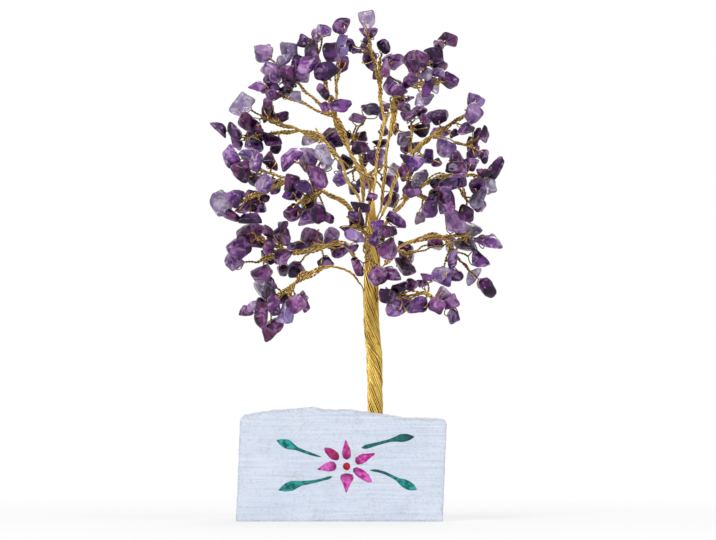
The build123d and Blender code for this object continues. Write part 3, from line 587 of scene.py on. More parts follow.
def buildBlock():
    bm = bmesh.new()
    bmesh.ops.create_cube(bm, size=2.0)
    bmesh.ops.subdivide_edges(bm, edges=bm.edges[:], cuts=block["cuts"], use_grid_fill=True)
    half = np.array((block["width"], block["depth"], block["height"])) / 2
    verts, wear = [], []
    for vert in bm.verts:
        share = np.array(vert.co)
        share = 0.45 * share + 0.55 * np.sin(share * math.pi / 2)  # closer rows at the edges
        place = share * half
        chip = max(0.0, roughness(place + 7.0, block["chipSize"], 3) - 0.12)
        edge = block["edge"] * (0.55 + 0.45 * noise.noise(Vector(place) / block["edgeSize"]))
        edge += block["chipped"] * chip
        if place[2] < -half[2] * 0.9:
            edge *= block["footEdge"]  # the foot is less worn than the top
        inner = np.clip(place, edge - half, half - edge)
        away = place - inner
        length = np.linalg.norm(away)
        reach = block["wearReach"] * (0.55 + 0.8 * abs(noise.noise(Vector(place) / block["wearSize"])))
        rim = np.sort(half - np.abs(place))[1] / reach
        wear.append(min(1.0, max(0.0, 1.0 - rim) + 0.6 * chip))
        if length > 0:
            place = inner + away / length * edge
        up = (place[2] + half[2]) / block["height"]
        x = place[0] + block["lean"] * up
        y = place[1]
        z = up * topOf(x - block["lean"] * up)
        broken = roughness((x, y, 0.3), block["topSize"], 5) * block["topRough"]
        broken += block["wave"] * roughness((x, y, 1.3), block["waveSize"], 2)
        z += broken * max(0.0, (up - 0.9) / 0.1) ** 2
        z -= block["backDrop"] * up * max(0.0, y / half[1] + 0.8)
        dent = block["sideRough"] * roughness((x * 0.12, y * 0.4, z), block["sawSize"], 3)
        if share[1] < -0.999:
            y += abs(dent)
        elif share[1] > 0.999:
            y += dent * 2.5 - block["backRough"] * abs(roughness((x, 3.1, z), block["backSize"], 3))
        if abs(share[0]) > 0.999:
            split = block["endRough"] * abs(roughness((9.7, y, z), block["endSize"], 4))
            x -= math.copysign(abs(dent) * 3.0 + split, share[0])
        verts.append((x, y, max(z, 0.0)))
    faces = [[v.index for v in face.verts] for face in bm.faces]
    bm.free()
    makePiece("marbleBlock", verts, faces, [marbleMaterial], "base", ["base_block"], {"edgeWear": wear})


buildBlock()
print("block built")

# trunk's settings and lean, then the glue round its foot

trunk = {
    "wire": 0.33 * mm, "sides": 8, "step": 0.9 * mm, "perStrand": 3, "pitch": 57 * mm, "sink": 4 * mm,
    "rise": 5.2 * mm, "uneven": 0.22 * mm, "unevenSize": 6.5 * mm, "stray": 0.07, "straySize": 7 * mm,
    "parting": 2.0 * mm,
    "coreWires": 14, "coreSides": 7, "coreStep": 1.2 * mm, "coreRise": 10 * mm, "coreLeast": 1.6 * mm,
    "coreInset": 0.95, "corePitch": 0.7, "fillOver": 1.02, "fillSides": 16, "fillTint": 0.3, "fillShade": 0.85,
    "taper": ((0.0, 0.2), (3 * mm, 0.5), (15 * mm, 1.0)), "tipRise": 0.9 * mm,
    "crossing": 7, "crossPitch": 34 * mm, "crossFoot": 22 * mm, "crossRun": (24, 34), "crossStep": 0.8 * mm,
    "lean": ((0.0, 1.5), (0.28, 0.9), (0.42, -0.5), (0.55, -0.9), (0.7, 0.0), (1.0, 0.0)),
}
trunkFoot = topOf(trunkX)


def trunkSway(z):  # the trunk leans a little between the block and the forks
    shares, leans = zip(*trunk["lean"])
    return np.interp((z - trunkFoot) / (coreHigh.z - trunkFoot), shares, leans) * mm


def aroundTrunk(heights, orbit=0.0, angle=0.0):  # points round the trunk's middle line, or on it
    across = heights * 0 + orbit * np.sin(angle)
    return np.stack((trunkX + orbit * np.cos(angle) + trunkSway(heights), across, heights), axis=1)


collar = {"inner": 3.2 * mm, "outer": 4.9 * mm, "rise": 0.55 * mm, "around": 72, "rows": 7, "ragged": 0.5 * mm,
          "lift": 0.25 * mm, "dip": 0.9 * mm, "sunk": 2.5 * mm}


def buildCollar():
    verts, faces = [], []
    rows, around = collar["rows"], collar["around"]
    footX = trunkX + float(trunkSway(trunkFoot))

    def addPoint(reach, angle, climb, lift):
        x, y = footX + reach * math.cos(angle), reach * math.sin(angle)
        verts.append((x, y, topOf(x - block["lean"]) + climb + lift))

    angles = [fullTurn * turn / around for turn in range(around)]
    for row in range(rows):
        share = row / (rows - 1)
        climb = collar["rise"] * (1 - share) ** 1.6 - collar["dip"] * max(0.0, share - 0.85)
        for angle in angles:
            ragged = collar["ragged"] * noise.noise(Vector((math.cos(angle) * 1.7, math.sin(angle) * 1.7, 0.4)))
            reach = collar["inner"] + (collar["outer"] - collar["inner"] + ragged) * share
            addPoint(reach, angle, climb, collar["lift"])
    for angle in angles:
        addPoint(collar["outer"], angle, 0.0, -collar["sunk"])
        addPoint(collar["inner"], angle, 0.0, -collar["sunk"])
    low, top = rows * around, (rows - 1) * around
    for turn in range(around):
        after = (turn + 1) % around
        for row in range(rows - 1):
            a, b = row * around + turn, row * around + after
            faces.append((a, a + around, b + around, b))
        here, there = low + 2 * turn, low + 2 * after
        faces.append((top + turn, here, there, top + after))
        faces.append((here, here + 1, there + 1, there))
        faces.append((here + 1, turn, after, there + 1))
    makePiece("glueCollar", verts, faces, [glueMaterial], "base", ["socket_glue"])


buildCollar()

# painted flower, each stroke as a centre line and the half widths along it, in photograph pixels

flower = {
    "originPx": (340.0, 520.0), "sink": 0.15 * mm, "swell": 0.30 * mm, "dotSwell": 0.5 * mm, "film": 0.03 * mm,
    "along": 26, "across": 11, "ragged": 0.12, "raggedRate": 0.45, "ridge": 0.5, "ridgeRates": (0.10, 4.0),
    "fullHalf": 2.2, "blunt": 14,
    "petals": (
        {"line": ((347.3, 458.5), (347.0, 450.0), (346.2, 438.6)), "half": (2.6, 4.6, 4.0, 2.0, 0.4), "tone": 0.35},
        {"line": ((356.0, 461.5), (363.0, 457.5), (375.5, 452.5)), "half": (2.8, 4.8, 4.2, 2.2, 0.8), "tone": 0.05},
        {"line": ((354.0, 467.5), (361.5, 472.5), (372.0, 481.0)), "half": (2.2, 4.2, 4.6, 3.6, 1.4), "tone": 0.0},
        {"line": ((347.2, 472.2), (347.5, 479.5), (346.6, 491.5)), "half": (5.2, 7.0, 4.2, 2.2, 0.7), "tone": 0.05},
        {"line": ((337.0, 464.5), (330.0, 465.5), (318.0, 468.3)), "half": (3.2, 5.2, 4.4, 2.2, 0.5), "tone": 0.0},
        {"line": ((339.2, 458.3), (333.0, 453.0), (325.0, 447.0)), "half": (2.0, 4.4, 4.4, 3.4, 1.0), "tone": 1.0,
         "headTone": 0.6},
    ),
    "sprigs": (
        {"line": ((322.0, 456.0), (310.0, 452.5), (297.0, 447.5), (289.0, 443.5), (277.5, 439.5)),
         "half": (0.6, 1.1, 1.3, 1.5, 1.6, 1.6, 2.0, 4.9, 4.9, 3.2, 0.7), "tone": 0.1},
        {"line": ((362.0, 447.0), (374.0, 444.0), (390.0, 439.5), (402.0, 437.0), (414.5, 436.0)),
         "half": (1.8, 2.3, 1.9, 1.6, 1.5, 1.5, 1.5, 3.6, 4.5, 3.4, 0.7), "tone": 0.2, "headTone": 1.0},
        {"line": ((333.0, 475.5), (318.0, 480.0), (300.0, 482.5), (291.0, 485.0), (279.5, 489.0)),
         "half": (2.0, 1.2, 1.3, 1.5, 1.9, 2.1, 2.4, 4.9, 5.0, 3.4, 0.8), "tone": 0.2},
        {"line": ((370.0, 469.0), (381.0, 470.0), (394.0, 476.0), (403.0, 481.5), (417.0, 488.5)),
         "half": (0.8, 1.3, 1.4, 1.4, 1.4, 1.5, 1.6, 4.2, 4.8, 3.8, 0.9), "tone": 0.25},
    ),
    "dot": {"line": ((343.6, 466.2), (347.2, 465.3), (350.8, 464.6)), "half": (1.6, 3.5, 3.9, 3.5, 1.5), "tone": 0.1},
}


def addStroke(store, stroke, swell, draw):
    rows, columns = flower["along"], flower["across"]
    flat = np.array([(x, 0.0, y) for x, y in stroke["line"]])
    line, _ = resample(cutCorners(flat, 3), 0.2)
    marks = np.linspace(0, 1, rows)
    centre = np.stack([np.interp(marks, np.linspace(0, 1, len(line)), line[:, i]) for i in (0, 2)], axis=1)
    ways = np.gradient(centre, axis=0)
    normals = np.stack((-ways[:, 1], ways[:, 0]), axis=1) / np.linalg.norm(ways, axis=1)[:, None]
    halves = np.interp(marks, np.linspace(0, 1, len(stroke["half"])), stroke["half"])
    halves = np.convolve(np.pad(halves, 2, mode="edge"), np.ones(5) / 5, mode="valid")
    halves *= np.sqrt(np.clip(np.minimum(marks, 1 - marks) * flower["blunt"], 0.02, 1))
    seed = draw.uniform(0, 50)
    tones = np.linspace(stroke["tone"], stroke.get("headTone", stroke["tone"]), rows).tolist()
    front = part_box("base_block")[0].y
    rateAlong, rateAcross = flower["ridgeRates"]
    for layer in (1, 0):
        for row in range(rows):
            for column in range(columns):
                across = column / (columns - 1) * 2 - 1
                torn = noise.noise(Vector((row * flower["raggedRate"], seed, math.copysign(1.0, across))))
                px = centre[row] + normals[row] * across * halves[row] * (1 + flower["ragged"] * torn)
                ridge = 0.75 + flower["ridge"] * noise.noise(Vector((row * rateAlong, across * rateAcross, seed)))
                dome = max(0.0, 1 - across * across) ** 0.5 * min(1.0, halves[row] / flower["fullHalf"])
                lift = swell * dome * ridge + flower["film"] if layer else -flower["sink"]
                store["verts"].append((
                    (px[0] - flower["originPx"][0]) * view["perPixel"], front - lift,
                    (flower["originPx"][1] - px[1]) * view["perPixel"],
                ))
                store["along"].append(row / rows * 3)
                store["across"].append(across)
                store["tone"].append(tones[row])
    size = rows * columns
    top = (store["count"] + np.arange(size).reshape(rows, columns)).tolist()
    faces = store["faces"]
    for row in range(rows - 1):
        here, there = top[row], top[row + 1]
        for column in range(columns - 1):
            a, b, c, d = here[column], here[column + 1], there[column + 1], there[column]
            faces.append((a, d, c, b))
            faces.append((a + size, b + size, c + size, d + size))
        for edge in (0, columns - 1):
            face = (here[edge], here[edge] + size, there[edge] + size, there[edge])
            faces.append(face if edge == 0 else face[::-1])
    for column in range(columns - 1):
        for row in (0, rows - 1):
            a, b = top[row][column], top[row][column + 1]
            face = (a, b, b + size, a + size)
            faces.append(face if row == 0 else face[::-1])
    store["count"] += 2 * size


def buildPaintPiece(name, strokes, swell, finish, slotName, node, seed):
    draw = random.Random(seed)
    store = newStore("along", "across", "tone")
    for stroke in strokes:
        addStroke(store, stroke, swell, draw)
    makePiece(
        name, store["verts"], store["faces"], [paintMaterials[finish]], "base", [node],
        {"strokeAlong": store["along"], "strokeAcross": store["across"], "strokeTone": store["tone"]},
    )


for settings in (
    ("petalStrokes", flower["petals"], flower["swell"], "petalPaint", "petal_paint", "flower_petals", 3),
    ("leafStrokes", flower["sprigs"], flower["swell"], "leafPaint", "leaf_paint", "leaf_sprigs", 5),
    ("centreDab", (flower["dot"],), flower["dotSwell"], "centrePaint", "centre_paint", "flower_centre", 7),
):
    buildPaintPiece(*settings)
print("flower painted")

# branches, with each limb's points after its root, as photograph pixels and guessed depth

limbLines = {
    "crown_top": ((377, 170, 8), (381, 128, 20), (382, 98, 24), (380, 82, 24)),
    "upper_left": ((364, 182, -18), (356, 160, -24), (345, 136, -28), (335, 118, -28)),
    "left_high": ((354, 190, 24), (340, 160, 32), (322, 140, 32), (300, 130, 32)),
    "left": ((350, 208, -22), (328, 193, -30), (308, 184, -28), (290, 180, -28)),
    "left_low": ((346, 244, 20), (324, 246, 28), (302, 252, 28), (288, 252, 28)),
    "lower_left": ((350, 268, -16), (330, 266, -24), (308, 275, -28), (294, 284, -28)),
    "centre_high": ((370, 196, 34), (367, 178, 62), (362, 164, 82)),
    "centre_low": ((370, 252, -34), (368, 242, -54), (366, 234, -68)),
    "top_right": ((385, 172, -22), (388, 132, -28), (396, 104, -28), (404, 86, -28)),
    "right_high": ((392, 190, 24), (404, 162, 32), (418, 144, 32), (434, 134, 32)),
    "right": ((398, 204, -22), (420, 186, -30), (436, 178, -30), (450, 176, -30)),
    "right_low": ((394, 250, 18), (412, 240, 26), (430, 236, 28), (444, 236, 28)),
    "lower_right": ((392, 294, -18), (408, 294, -26), (424, 292, -28)),
}

# stones by tone, at photograph pixels; the rest are dark
stonePlaces = {
    "pale": (
        (367, 20), (296, 97), (289, 52), (284, 62), (242, 105), (311, 137), (328, 166), (326, 156), (394, 168),
        (417, 75), (427, 75), (424, 100), (488, 185), (222, 204), (474, 276), (451, 243), (434, 86),
    ),
    "lilac": (
        (476, 100), (474, 113), (441, 132), (446, 146), (454, 221), (247, 155), (257, 163), (267, 184), (309, 159),
        (287, 312), (441, 276), (329, 238), (354, 238), (443, 294), (342, 53), (341, 43), (358, 117), (233, 263),
        (437, 75), (265, 55), (316, 36), (324, 32), (256, 305), (270, 69), (276, 76),
    ),
    "grey": (
        (371, 108), (404, 138), (418, 178), (468, 231), (467, 244), (476, 199), (264, 290), (420, 217),
    ),
    "violet": (
        (369, 57), (369, 32), (366, 43), (395, 59), (386, 68), (300, 70), (308, 67), (273, 87), (260, 88), (409, 82),
        (428, 88), (403, 100), (340, 106), (384, 116), (426, 118), (466, 128), (376, 155), (340, 177), (366, 182),
        (392, 181), (413, 163), (430, 155), (484, 157), (477, 186), (457, 181), (446, 201), (488, 242), (479, 259),
        (437, 241), (453, 258), (454, 276), (427, 278), (387, 250), (375, 238), (377, 226), (393, 309), (404, 305),
        (418, 305), (437, 305), (453, 315), (262, 274), (297, 247), (268, 246), (283, 257), (279, 237), (236, 197),
        (245, 207), (233, 160), (293, 195), (292, 160), (297, 304),
    ),
}
toneList = list(stoneTones)
tonePoints = [(np.array(place), tone) for tone, places in stonePlaces.items() for place in places]
stones = {
    "level": 4, "breaks": (2, 5), "tilt": 0.42, "reach": (0.66, 1.0), "crisp": 6.5, "lumps": 0.5 * mm,
    "lumpSize": 3.0 * mm, "pits": 0.03 * mm, "pitSize": 0.8 * mm, "nearPx": 2.5, "grow": 1.2,
    "close": {"centre_low": 1.03, "lower_right": 1.05, "centre_high": 1.05, "right_high": 1.02, "crown_top": 1.05},
}
wires = {
    "radius": 0.31 * mm, "pitch": 10.5 * mm, "fill": 0.7, "sway": 2.2 * mm, "swaySize": 15 * mm,
    "rooted": ((0.0, 0.45), (7 * mm, 1.0)),
    "twigPitch": 6.5 * mm, "twigStep": 0.6 * mm, "twigTip": 0.8 * mm, "kink": 1.1 * mm, "kinkSize": 7 * mm,
    "stemRadius": 0.29 * mm, "bow": 1.1 * mm, "bowSize": 5 * mm, "footReach": 0.35 * mm, "rodReach": 0.2 * mm,
    "loose": (10, 24), "looseLeast": 6, "looseBow": (1.2, 2.6), "loosePitch": 4.0 * mm, "looseStep": 0.5 * mm,
    "tight": {"crown_top": 0.25, "right_high": 0.5},
}


def toneAt(place):
    pixel = pixelOf(place)
    gaps = [np.linalg.norm(pixel - spot) for spot, _ in tonePoints]
    best = int(np.argmin(gaps))
    return tonePoints[best][1] if gaps[best] < stones["nearPx"] else "dark"


def bundleRadius(chips):
    return 0.25 * mm * math.sqrt(max(chips / 2, 2) / wires["fill"])


def ballPoints(level):
    bm = bmesh.new()
    bmesh.ops.create_icosphere(bm, subdivisions=level, radius=1.0)
    bm.verts.index_update()
    points = np.array([v.co for v in bm.verts])
    faces = np.array([[v.index for v in face.verts] for face in bm.faces])
    bm.free()
    return points / np.linalg.norm(points, axis=1)[:, None], faces


ballWays, ballFaces = ballPoints(stones["level"])


def addStone(store, corners, grow, draw):  # a chip broken along a few flat faces, its edges worn by tumbling
    middle = boxMiddle(corners)
    axes = np.linalg.svd(corners - corners.mean(axis=0), full_matrices=False)[2]
    along = (corners - middle) @ axes.T
    half, shift = np.ptp(along, axis=0) / 2, boxMiddle(along)
    normals = [np.array(way) + [draw.uniform(-stones["tilt"], stones["tilt"]) for _ in way] for way in
               ((1, 0, 0), (-1, 0, 0), (0, 1, 0), (0, -1, 0), (0, 0, 1), (0, 0, -1))]
    normals += [anyWay(draw) for _ in range(draw.randint(*stones["breaks"]))]
    normals = np.array([unit(n) for n in normals])
    reach = np.array([draw.uniform(*stones["reach"]) for _ in normals])
    facing = np.clip(ballWays @ normals.T, 0, None) / reach
    spans = (facing ** stones["crisp"]).sum(axis=1) ** (-1 / stones["crisp"])
    shape = ballWays * spans[:, None]
    shape = (shape - boxMiddle(shape)) / (np.ptp(shape, axis=0) / 2) * half * grow
    seed = anyPlace(draw, 90)
    lumps = [noise.noise(Vector(p) / stones["lumpSize"] + seed) * stones["lumps"]
             + noise.noise(Vector(p) / stones["pitSize"] + seed) * stones["pits"] for p in shape]
    places = (shape + ballWays * np.array(lumps)[:, None] + shift) @ axes + middle
    faces = ballFaces[:, ::-1] if np.linalg.det(axes) < 0 else ballFaces  # mirrored axes turn faces inside out
    store["faces"] += (faces + store["count"]).tolist()
    store["slots"] += [toneList.index(toneAt(middle))] * len(faces)
    store["verts"].append(places)
    store["seed"] += [draw.uniform(0, 1)] * len(places)
    store["zone"] += (ballWays @ unit(anyWay(draw))).tolist()
    store["count"] += len(places)


def stemPoints(wire, stone):  # where a stone's wire starts, and the way of its hole
    middle = boxMiddle(stone)
    away = gapsTo(wire, middle)
    foot = wire[away > away.max() - wires["footReach"]].mean(axis=0)
    way = unit(middle - foot)
    flat = wire - middle
    flat = flat - (flat @ way)[:, None] * way
    across = np.linalg.svd(flat, full_matrices=False)[2][0]
    return foot, middle, way, across


stem = {
    "step": 0.32 * mm, "pitch": 3.0 * mm, "lead": (3, 12), "drawn": (0.15, 0.6), "start": 0.5 * mm, "gap": 0.9 * mm,
    "leastNeck": 0.6 * mm, "holeTurn": 1.25, "holeShift": 0.5, "shoulder": 0.25 * mm, "cheek": 0.15 * mm,
    "clear": 0.05 * mm, "dip": 0.12 * mm, "heart": 0.5 * mm,
}


def addStem(store, wire, stone, twigs, draw):  # a twisted pair that parts at the stone and ends in its hole
    foot, middle, way, across = stemPoints(wire, stone)
    twig = min(twigs, key=lambda line: gapsTo(line, foot).min())
    leave = int(gapsTo(twig, foot).argmin())
    first = max(0, leave - draw.randint(*stem["lead"]))
    lead = twig[first:leave + 1]
    lead = lead + (foot - twig[leave]) * np.linspace(*stem["drawn"], len(lead))[:, None]
    turned = draw.uniform(-stem["holeTurn"], stem["holeTurn"])
    across = across * math.cos(turned) + np.cross(way, across) * math.sin(turned)
    reach = np.linalg.norm(middle - foot)
    body = stone - middle
    near = -(body @ way).min()
    sides = (body @ across).max(), -(body @ across).min()
    hole = middle - way * near * draw.uniform(0.0, stem["holeShift"])
    neck = max(reach - near - stem["gap"], stem["leastNeck"])
    rise = [foot + way * stem["start"], foot + way * neck * 0.6, foot + way * neck]
    heart, marks = resample(cutCorners(np.concatenate((lead, rise)), 2), stem["step"])
    heart = kinked(heart, wires["bow"], wires["bowSize"], draw)
    one, two = framesAlong(heart)
    turns = draw.uniform(0, fullTurn) + fullTurn * marks / stem["pitch"]
    tints = draw.uniform(0.3, 0.75), draw.uniform(0.0, 1.0)
    for leg, sign in ((0, 1), (1, -1)):
        angle = turns + math.pi * leg
        line = heart + wires["stemRadius"] * outAt(angle, one, two)
        side, out = sides[leg], across * sign
        tail = np.array([  # over the stone's cheek to its hole, and a little way in
            middle - way * (near + stem["shoulder"]) + out * side * 0.5,
            middle - way * near * 0.75 + out * side * 0.95,
            (hole + middle - way * near * 0.75) / 2 + out * (side + stem["cheek"]),
            hole + out * (side + stem["clear"]),
            hole + way * stem["dip"] + out * side * 0.6,
        ])
        bend = cutCorners(np.concatenate((line[-1:], tail)), 2)[1:]
        whole, _ = resample(np.concatenate((line, bend)), stem["step"])
        inner, _ = resample(np.concatenate((heart, bend - out * stem["heart"])), stem["step"])
        inner = inner[np.minimum(np.arange(len(whole)), len(inner) - 1)]
        # painted shade on each leg's side that faces the pair's middle
        addTube(store, whole, wires["stemRadius"], wireSides, tints[leg], inner)


def bowOut(line, turn, amount):  # to one side in the middle, and not at the ends
    one, two = framesAlong(line)
    side = math.cos(turn) * one + math.sin(turn) * two
    return line + side * amount * np.sin(np.linspace(0, math.pi, len(line)))[:, None]


def addPair(store, line, draw):
    line = kinked(resample(line, wires["twigStep"])[0], wires["bow"], wires["bowSize"], draw)
    radius = wires["stemRadius"]
    addTwist(store, line, 2, radius, radius, wires["loosePitch"], draw, 1.0, wires["looseStep"])


def addLoosePair(store, limb, twig, ease, draw):  # leaves the bundle early and runs beside it to a twig
    join = int(gapsTo(limb, twig[0]).argmin())
    first = max(0, join - draw.randint(*wires["loose"]))
    amount = draw.uniform(*wires["looseBow"]) * mm * ease
    if join - first < wires["looseLeast"]:
        return
    run = bowOut(limb[first:join + 1], draw.uniform(0, fullTurn), amount)
    addPair(store, cutCorners(np.concatenate((run[:-1:3], twig[1:len(twig) // 2 + 1])), 2), draw)


def addBowedPair(store, twig, ease, draw):  # stands off its twig and comes back at the tip
    turn = draw.uniform(0, fullTurn)
    addPair(store, bowOut(twig, turn, draw.uniform(*wires["looseBow"]) * mm * ease), draw)


def rodEnds(rod):
    middle = rod.mean(axis=0)
    axis = np.linalg.svd(rod - middle, full_matrices=False)[2][0]
    along = (rod - middle) @ axis
    reach = wires["rodReach"]
    return rod[along < along.min() + reach].mean(axis=0), rod[along > along.max() - reach].mean(axis=0)


def addBundle(store, line, thick, least, apart, pitch, draw, thin, **more):
    radius = wires["radius"]
    orbit = max(thick - radius, radius)
    count = max(least, int(fullTurn * orbit / (apart * radius)))
    addTwist(store, line, count, orbit, radius, pitch, draw, thin, **more)


def addTwig(store, rod, limb, ease, draw):
    one, two = rodEnds(rod)
    if gapsTo(limb, one).min() > gapsTo(limb, two).min():
        one, two = two, one
    way = unit(two - one)
    inside = limb[gapsTo(limb, one).argmin()]
    thick = np.linalg.norm(np.cross(rod - one, way), axis=1).max()
    points = np.array([inside, one, (one + two) / 2, two + way * wires["twigTip"]])
    line = kinked(resample(cutCorners(points, 2), 1.2 * mm)[0], wires["kink"], wires["kinkSize"], draw)
    addBundle(store, line, thick, 2, 2.2, wires["twigPitch"], draw, 0.6, step=wires["twigStep"])
    addLoosePair(store, limb, line, ease, draw)
    addLoosePair(store, limb, line, ease, draw)
    addBowedPair(store, line, ease, draw)
    return line


def buildBranch(name):
    body = "branch_" + name
    draw = random.Random(name)
    chips = islandsOf("chips_" + name)
    limb = cutCorners(np.concatenate(([hinges[body]], [placeOf(*p) for p in limbLines[name]])), 3)
    limb = kinked(resample(limb, 1.0 * mm)[0], wires["sway"], wires["swaySize"], draw)
    limbs, twigs, stems = [newStore("tint", "depth") for _ in range(3)]
    addBundle(limbs, limb, bundleRadius(len(chips)), 3, 2.15, wires["pitch"], draw, 0.8, rooted=wires["rooted"])
    ease = wires["tight"].get(name, 1.0)
    twigLines = [addTwig(twigs, rod, limb, ease, draw) for rod in islandsOf("twigs_" + name)]
    for wire, stone in zip(islandsOf("chip_wires_" + name), chips):
        addStem(stems, wire, stone, twigLines, draw)
    for label, store, node in (("limbWires_", limbs, "limb_"), ("twigWires_", twigs, "twigs_"),
                               ("stemWires_", stems, "chip_wires_")):
        wirePiece(label + name, store, "branchBrass", body, [node + name])

    store = newStore("slots", "seed", "zone")
    for stone in chips:
        addStone(store, stone, stones["close"].get(name, stones["grow"]), draw)
    makePiece(
        "stones_" + name, np.concatenate(store["verts"]), store["faces"], list(stoneMaterials.values()), body,
        ["chips_" + name], {"stoneSeed": store["seed"], "stoneZone": store["zone"]}, store["slots"],
    )
    return len(chips)


stoneCount = sum(buildBranch(name) for name in limbLines)
print("branches wired with", stoneCount, "stones")

# trunk: fine wires wound up round each other, three to each strand, that fork off to the limbs


def forkCurve(line, end):  # from the end of a wound wire out to its limb's root
    leave = unit(line[-1] - line[-2])
    gap = np.linalg.norm(end - line[-1])
    toward = unit(unit(end - line[-1]) + np.array((end[0] - trunkX, end[1], 0.0)) / max(gap, 1e-6) * 0.5)
    marks = np.linspace(0, 1, 9)[1:, None]
    return (
        (2 * marks**3 - 3 * marks**2 + 1) * line[-1] + (marks**3 - 2 * marks**2 + marks) * leave * gap
        + (3 * marks**2 - 2 * marks**3) * end + (marks**3 - marks**2) * toward * gap
    )


def addStrands(store, strands, orbit, draw):
    perStrand, uneven = trunk["perStrand"], trunk["uneven"]
    for strand in strands:
        low = strand[:, 2].min()
        foot = strand[strand[:, 2] < low + 1.0 * mm].mean(axis=0)
        startAngle = math.atan2(foot[1], foot[0] - trunkX)
        gaps = {name: gapsTo(strand, place).min() for name, place in hinges.items()}
        root = hinges[min(gaps, key=gaps.get)]
        heights = np.arange(trunkFoot - trunk["sink"], root[2] - trunk["rise"], trunk["step"])
        for index in range(perStrand):
            offset = (index - (perStrand - 1) / 2) * 2 * math.pi / (len(strands) * perStrand)
            angle = startAngle + offset - fullTurn * (heights - foot[2]) / trunk["pitch"]
            angle = angle + trunk["stray"] * np.sin(heights / trunk["straySize"] + anyPhase(draw))
            wobble = anyPhase(draw)
            bumps = orbit + uneven * np.sin(heights / trunk["unevenSize"] + wobble) * draw.uniform(0.2, 1)
            bumps = bumps + uneven * draw.uniform(-0.6, 0.6)
            line = aroundTrunk(heights, bumps, angle)
            end = root + np.cross(unit(root - line[-1]), (0, 0, 1)) * offset * trunk["parting"]
            whole = np.concatenate((line, forkCurve(line, end)))
            # painted shade on each wire's side that faces the trunk's middle
            addTube(store, whole, trunk["wire"], trunk["sides"], draw.random(), aroundTrunk(whole[:, 2]))


def addCore(store, orbit, draw):  # inner wires, which show where the strands have left, and what fills them
    tip = hinges["branch_crown_top"][2] + trunk["tipRise"]  # the top limb goes on from inside the tip
    heights = np.append(np.arange(trunkFoot - trunk["sink"], tip - 0.6 * mm, trunk["coreStep"]), tip)
    forks = sorted(place[2] for name, place in hinges.items() if name != "branch_crown_top")
    left = np.array([sum(fork > z for fork in forks) / len(forks) for z in heights])
    inner = np.convolve(np.pad(left, 4, mode="edge"), np.ones(9) / 9, mode="valid")
    thin = np.interp(tip - heights, *zip(*trunk["taper"]))
    core = trunk["coreLeast"] + inner * (orbit - 0.4 * trunk["wire"] - trunk["coreLeast"])
    core = core * thin
    bare = heights > forks[0] - trunk["coreRise"]
    tall, reach = heights[bare], core[bare] * trunk["coreInset"]
    middle = aroundTrunk(tall)
    radius = trunk["wire"] * (0.55 + 0.6 * thin[bare])
    for index in range(trunk["coreWires"]):
        angle = fullTurn * index / trunk["coreWires"] - fullTurn * tall / (trunk["pitch"] * trunk["corePitch"])
        line = middle + np.stack((reach * np.cos(angle), reach * np.sin(angle), tall * 0), axis=1)
        # painted shade on each wire's side that faces the trunk's middle
        addTube(store, line, radius, trunk["coreSides"], draw.random(), middle)
    return aroundTrunk(heights), core * trunk["fillOver"]


def addCrossing(store, orbit, draw):  # a wire that crosses the others and dives under at its ends
    low = draw.uniform(trunkFoot, trunkFoot + trunk["crossFoot"])
    rows = np.arange(low, low + draw.uniform(*trunk["crossRun"]) * mm, trunk["crossStep"])
    angle = anyPhase(draw) - fullTurn * rows / trunk["crossPitch"]
    ends = np.minimum(rows - rows[0], rows[-1] - rows)
    dive = np.interp(ends, (0.0, 3 * mm), (-1.6 * trunk["wire"], 0.3 * mm))
    line = aroundTrunk(rows, orbit + dive, angle)
    # painted shade on each wire's side that faces the trunk's middle
    addTube(store, line, trunk["wire"], trunk["sides"], draw.random(), aroundTrunk(rows))


def buildTrunk():
    draw = random.Random(11)
    store = newStore("tint", "depth")
    strands = islandsOf("trunk_strands")
    everything = np.concatenate(strands)
    shaft = everything[everything[:, 2] < hinges["branch_lower_left"][2] - 8 * mm]
    orbit = np.hypot(shaft[:, 0] - trunkX, shaft[:, 1]).max() - trunk["wire"]
    addStrands(store, strands, orbit, draw)
    filler, thick = addCore(store, orbit, draw)
    for _ in range(trunk["crossing"]):
        addCrossing(store, orbit, draw)
    # the filler is painted dark all round, painted shade in the gaps between the wound wires
    addTube(store, filler, thick, trunk["fillSides"], trunk["fillTint"], shade=trunk["fillShade"])
    wirePiece("trunkWires", store, "trunkBrass", "base", ["trunk_core", "trunk_strands"])


buildTrunk()
print("trunk wound")

# stage


def seenRays(tree):  # rays that end in the picture, straight or by way of a stone or wire
    light = addNode(tree, "ShaderNodeLightPath").outputs
    seen = calc(tree, "MAXIMUM", light["Is Camera Ray"], light["Is Glossy Ray"])
    return calc(tree, "MAXIMUM", seen, light["Is Transmission Ray"])


def mixSurface(tree, factor, first, second, output):
    mix = addNode(tree, "ShaderNodeMixShader")
    for socket, value in zip(mix.inputs, (factor, first.outputs[0], second.outputs[0])):
        tree.links.new(value, socket)
    tree.links.new(mix.outputs[0], tree.nodes[output].inputs["Surface"])


paper = {"reach": 6.0, "drop": 0.05 * mm, "color": (0.93, 0.93, 0.93), "roughness": 0.9,
         "fade": (0.10, 0.40, 0.55, 1.0)}


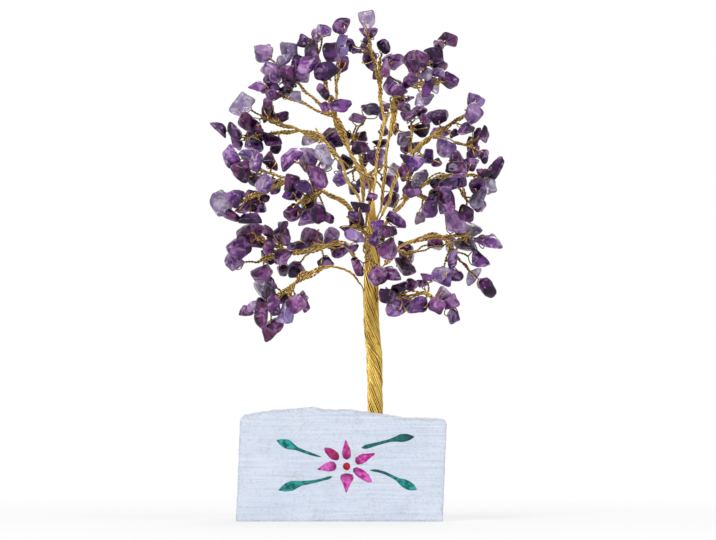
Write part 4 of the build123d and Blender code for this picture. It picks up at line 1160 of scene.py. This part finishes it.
def buildFloor():
    mesh = bpy.data.meshes.new("floor")
    corners = [(x * paper["reach"], y * paper["reach"], 0) for x, y in ((-1, -1), (1, -1), (1, 1), (-1, 1))]
    mesh.from_pydata(corners, [], [(0, 1, 2, 3)])
    floor = addObject("floor", mesh)
    floor.location.z = -paper["drop"]
    material, tree = newMaterial("paperFloor")
    shader = tree.nodes["Principled BSDF"]
    feedAll(tree, shader.inputs, {"Base Color": paper["color"], "Roughness": paper["roughness"]})
    away = addNode(tree, "ShaderNodeVectorMath", operation="LENGTH")
    tree.links.new(addNode(tree, "ShaderNodeNewGeometry").outputs["Position"], away.inputs[0])
    fade = spread(tree, away.outputs["Value"], *paper["fade"])  # plain white away from the object
    glow = addNode(tree, "ShaderNodeEmission", Strength=1.0)
    mixSurface(tree, calc(tree, "MULTIPLY", seenRays(tree), fade), shader, glow, "Material Output")
    mesh.materials.append(material)


studio = {"white": (1, 1, 1), "lighting": 0.5, "seen": 1.0}


def buildWorld():
    world = bpy.data.worlds.new("studio")
    bpy.context.scene.world = world
    world.use_nodes = True
    tree = world.node_tree
    soft = tree.nodes["Background"]
    feedAll(tree, soft.inputs, {"Color": studio["white"], "Strength": studio["lighting"]})
    white = addNode(tree, "ShaderNodeBackground", Color=studio["white"], Strength=studio["seen"])
    mixSurface(tree, seenRays(tree), soft, white, "World Output")


lamps = (
    {"name": "keySoftbox", "place": (-0.55, -0.9, 0.75), "size": 0.55, "power": 6.5},
    {"name": "fillSoftbox", "place": (0.85, -0.6, 0.35), "size": 0.6, "power": 2.4},
    {"name": "backSoftbox", "place": (0.2, 0.9, 0.8), "size": 0.6, "power": 4.0},
)


def buildLamps():
    aim = Vector((trunkX * 0.5, 0, 0.13))
    for lamp in lamps:
        data = bpy.data.lights.new(lamp["name"], "AREA")
        data.size = lamp["size"]
        data.energy = lamp["power"]
        made = addObject(lamp["name"], data)
        made.location = lamp["place"]
        made.rotation_euler = (aim - made.location).to_track_quat("-Z", "Y").to_euler()


def buildCamera():
    width, height = view["size"]
    centre = placeOf(width / 2, height / 2)
    data = bpy.data.cameras.new("photoCamera")
    data.sensor_width = view["sensor"]
    data.lens = view["sensor"] * view["distance"] / (width * view["perPixel"])
    data.clip_start, data.clip_end = view["clip"]
    camera = addObject("photoCamera", data)
    camera.location = (centre[0], -view["distance"], centre[2])
    camera.rotation_euler = (math.pi / 2, 0, 0)
    bpy.context.scene.camera = camera


buildFloor()
buildWorld()
buildLamps()
buildCamera()
bpy.context.scene.view_settings.view_transform = "Standard"
print("stage set")
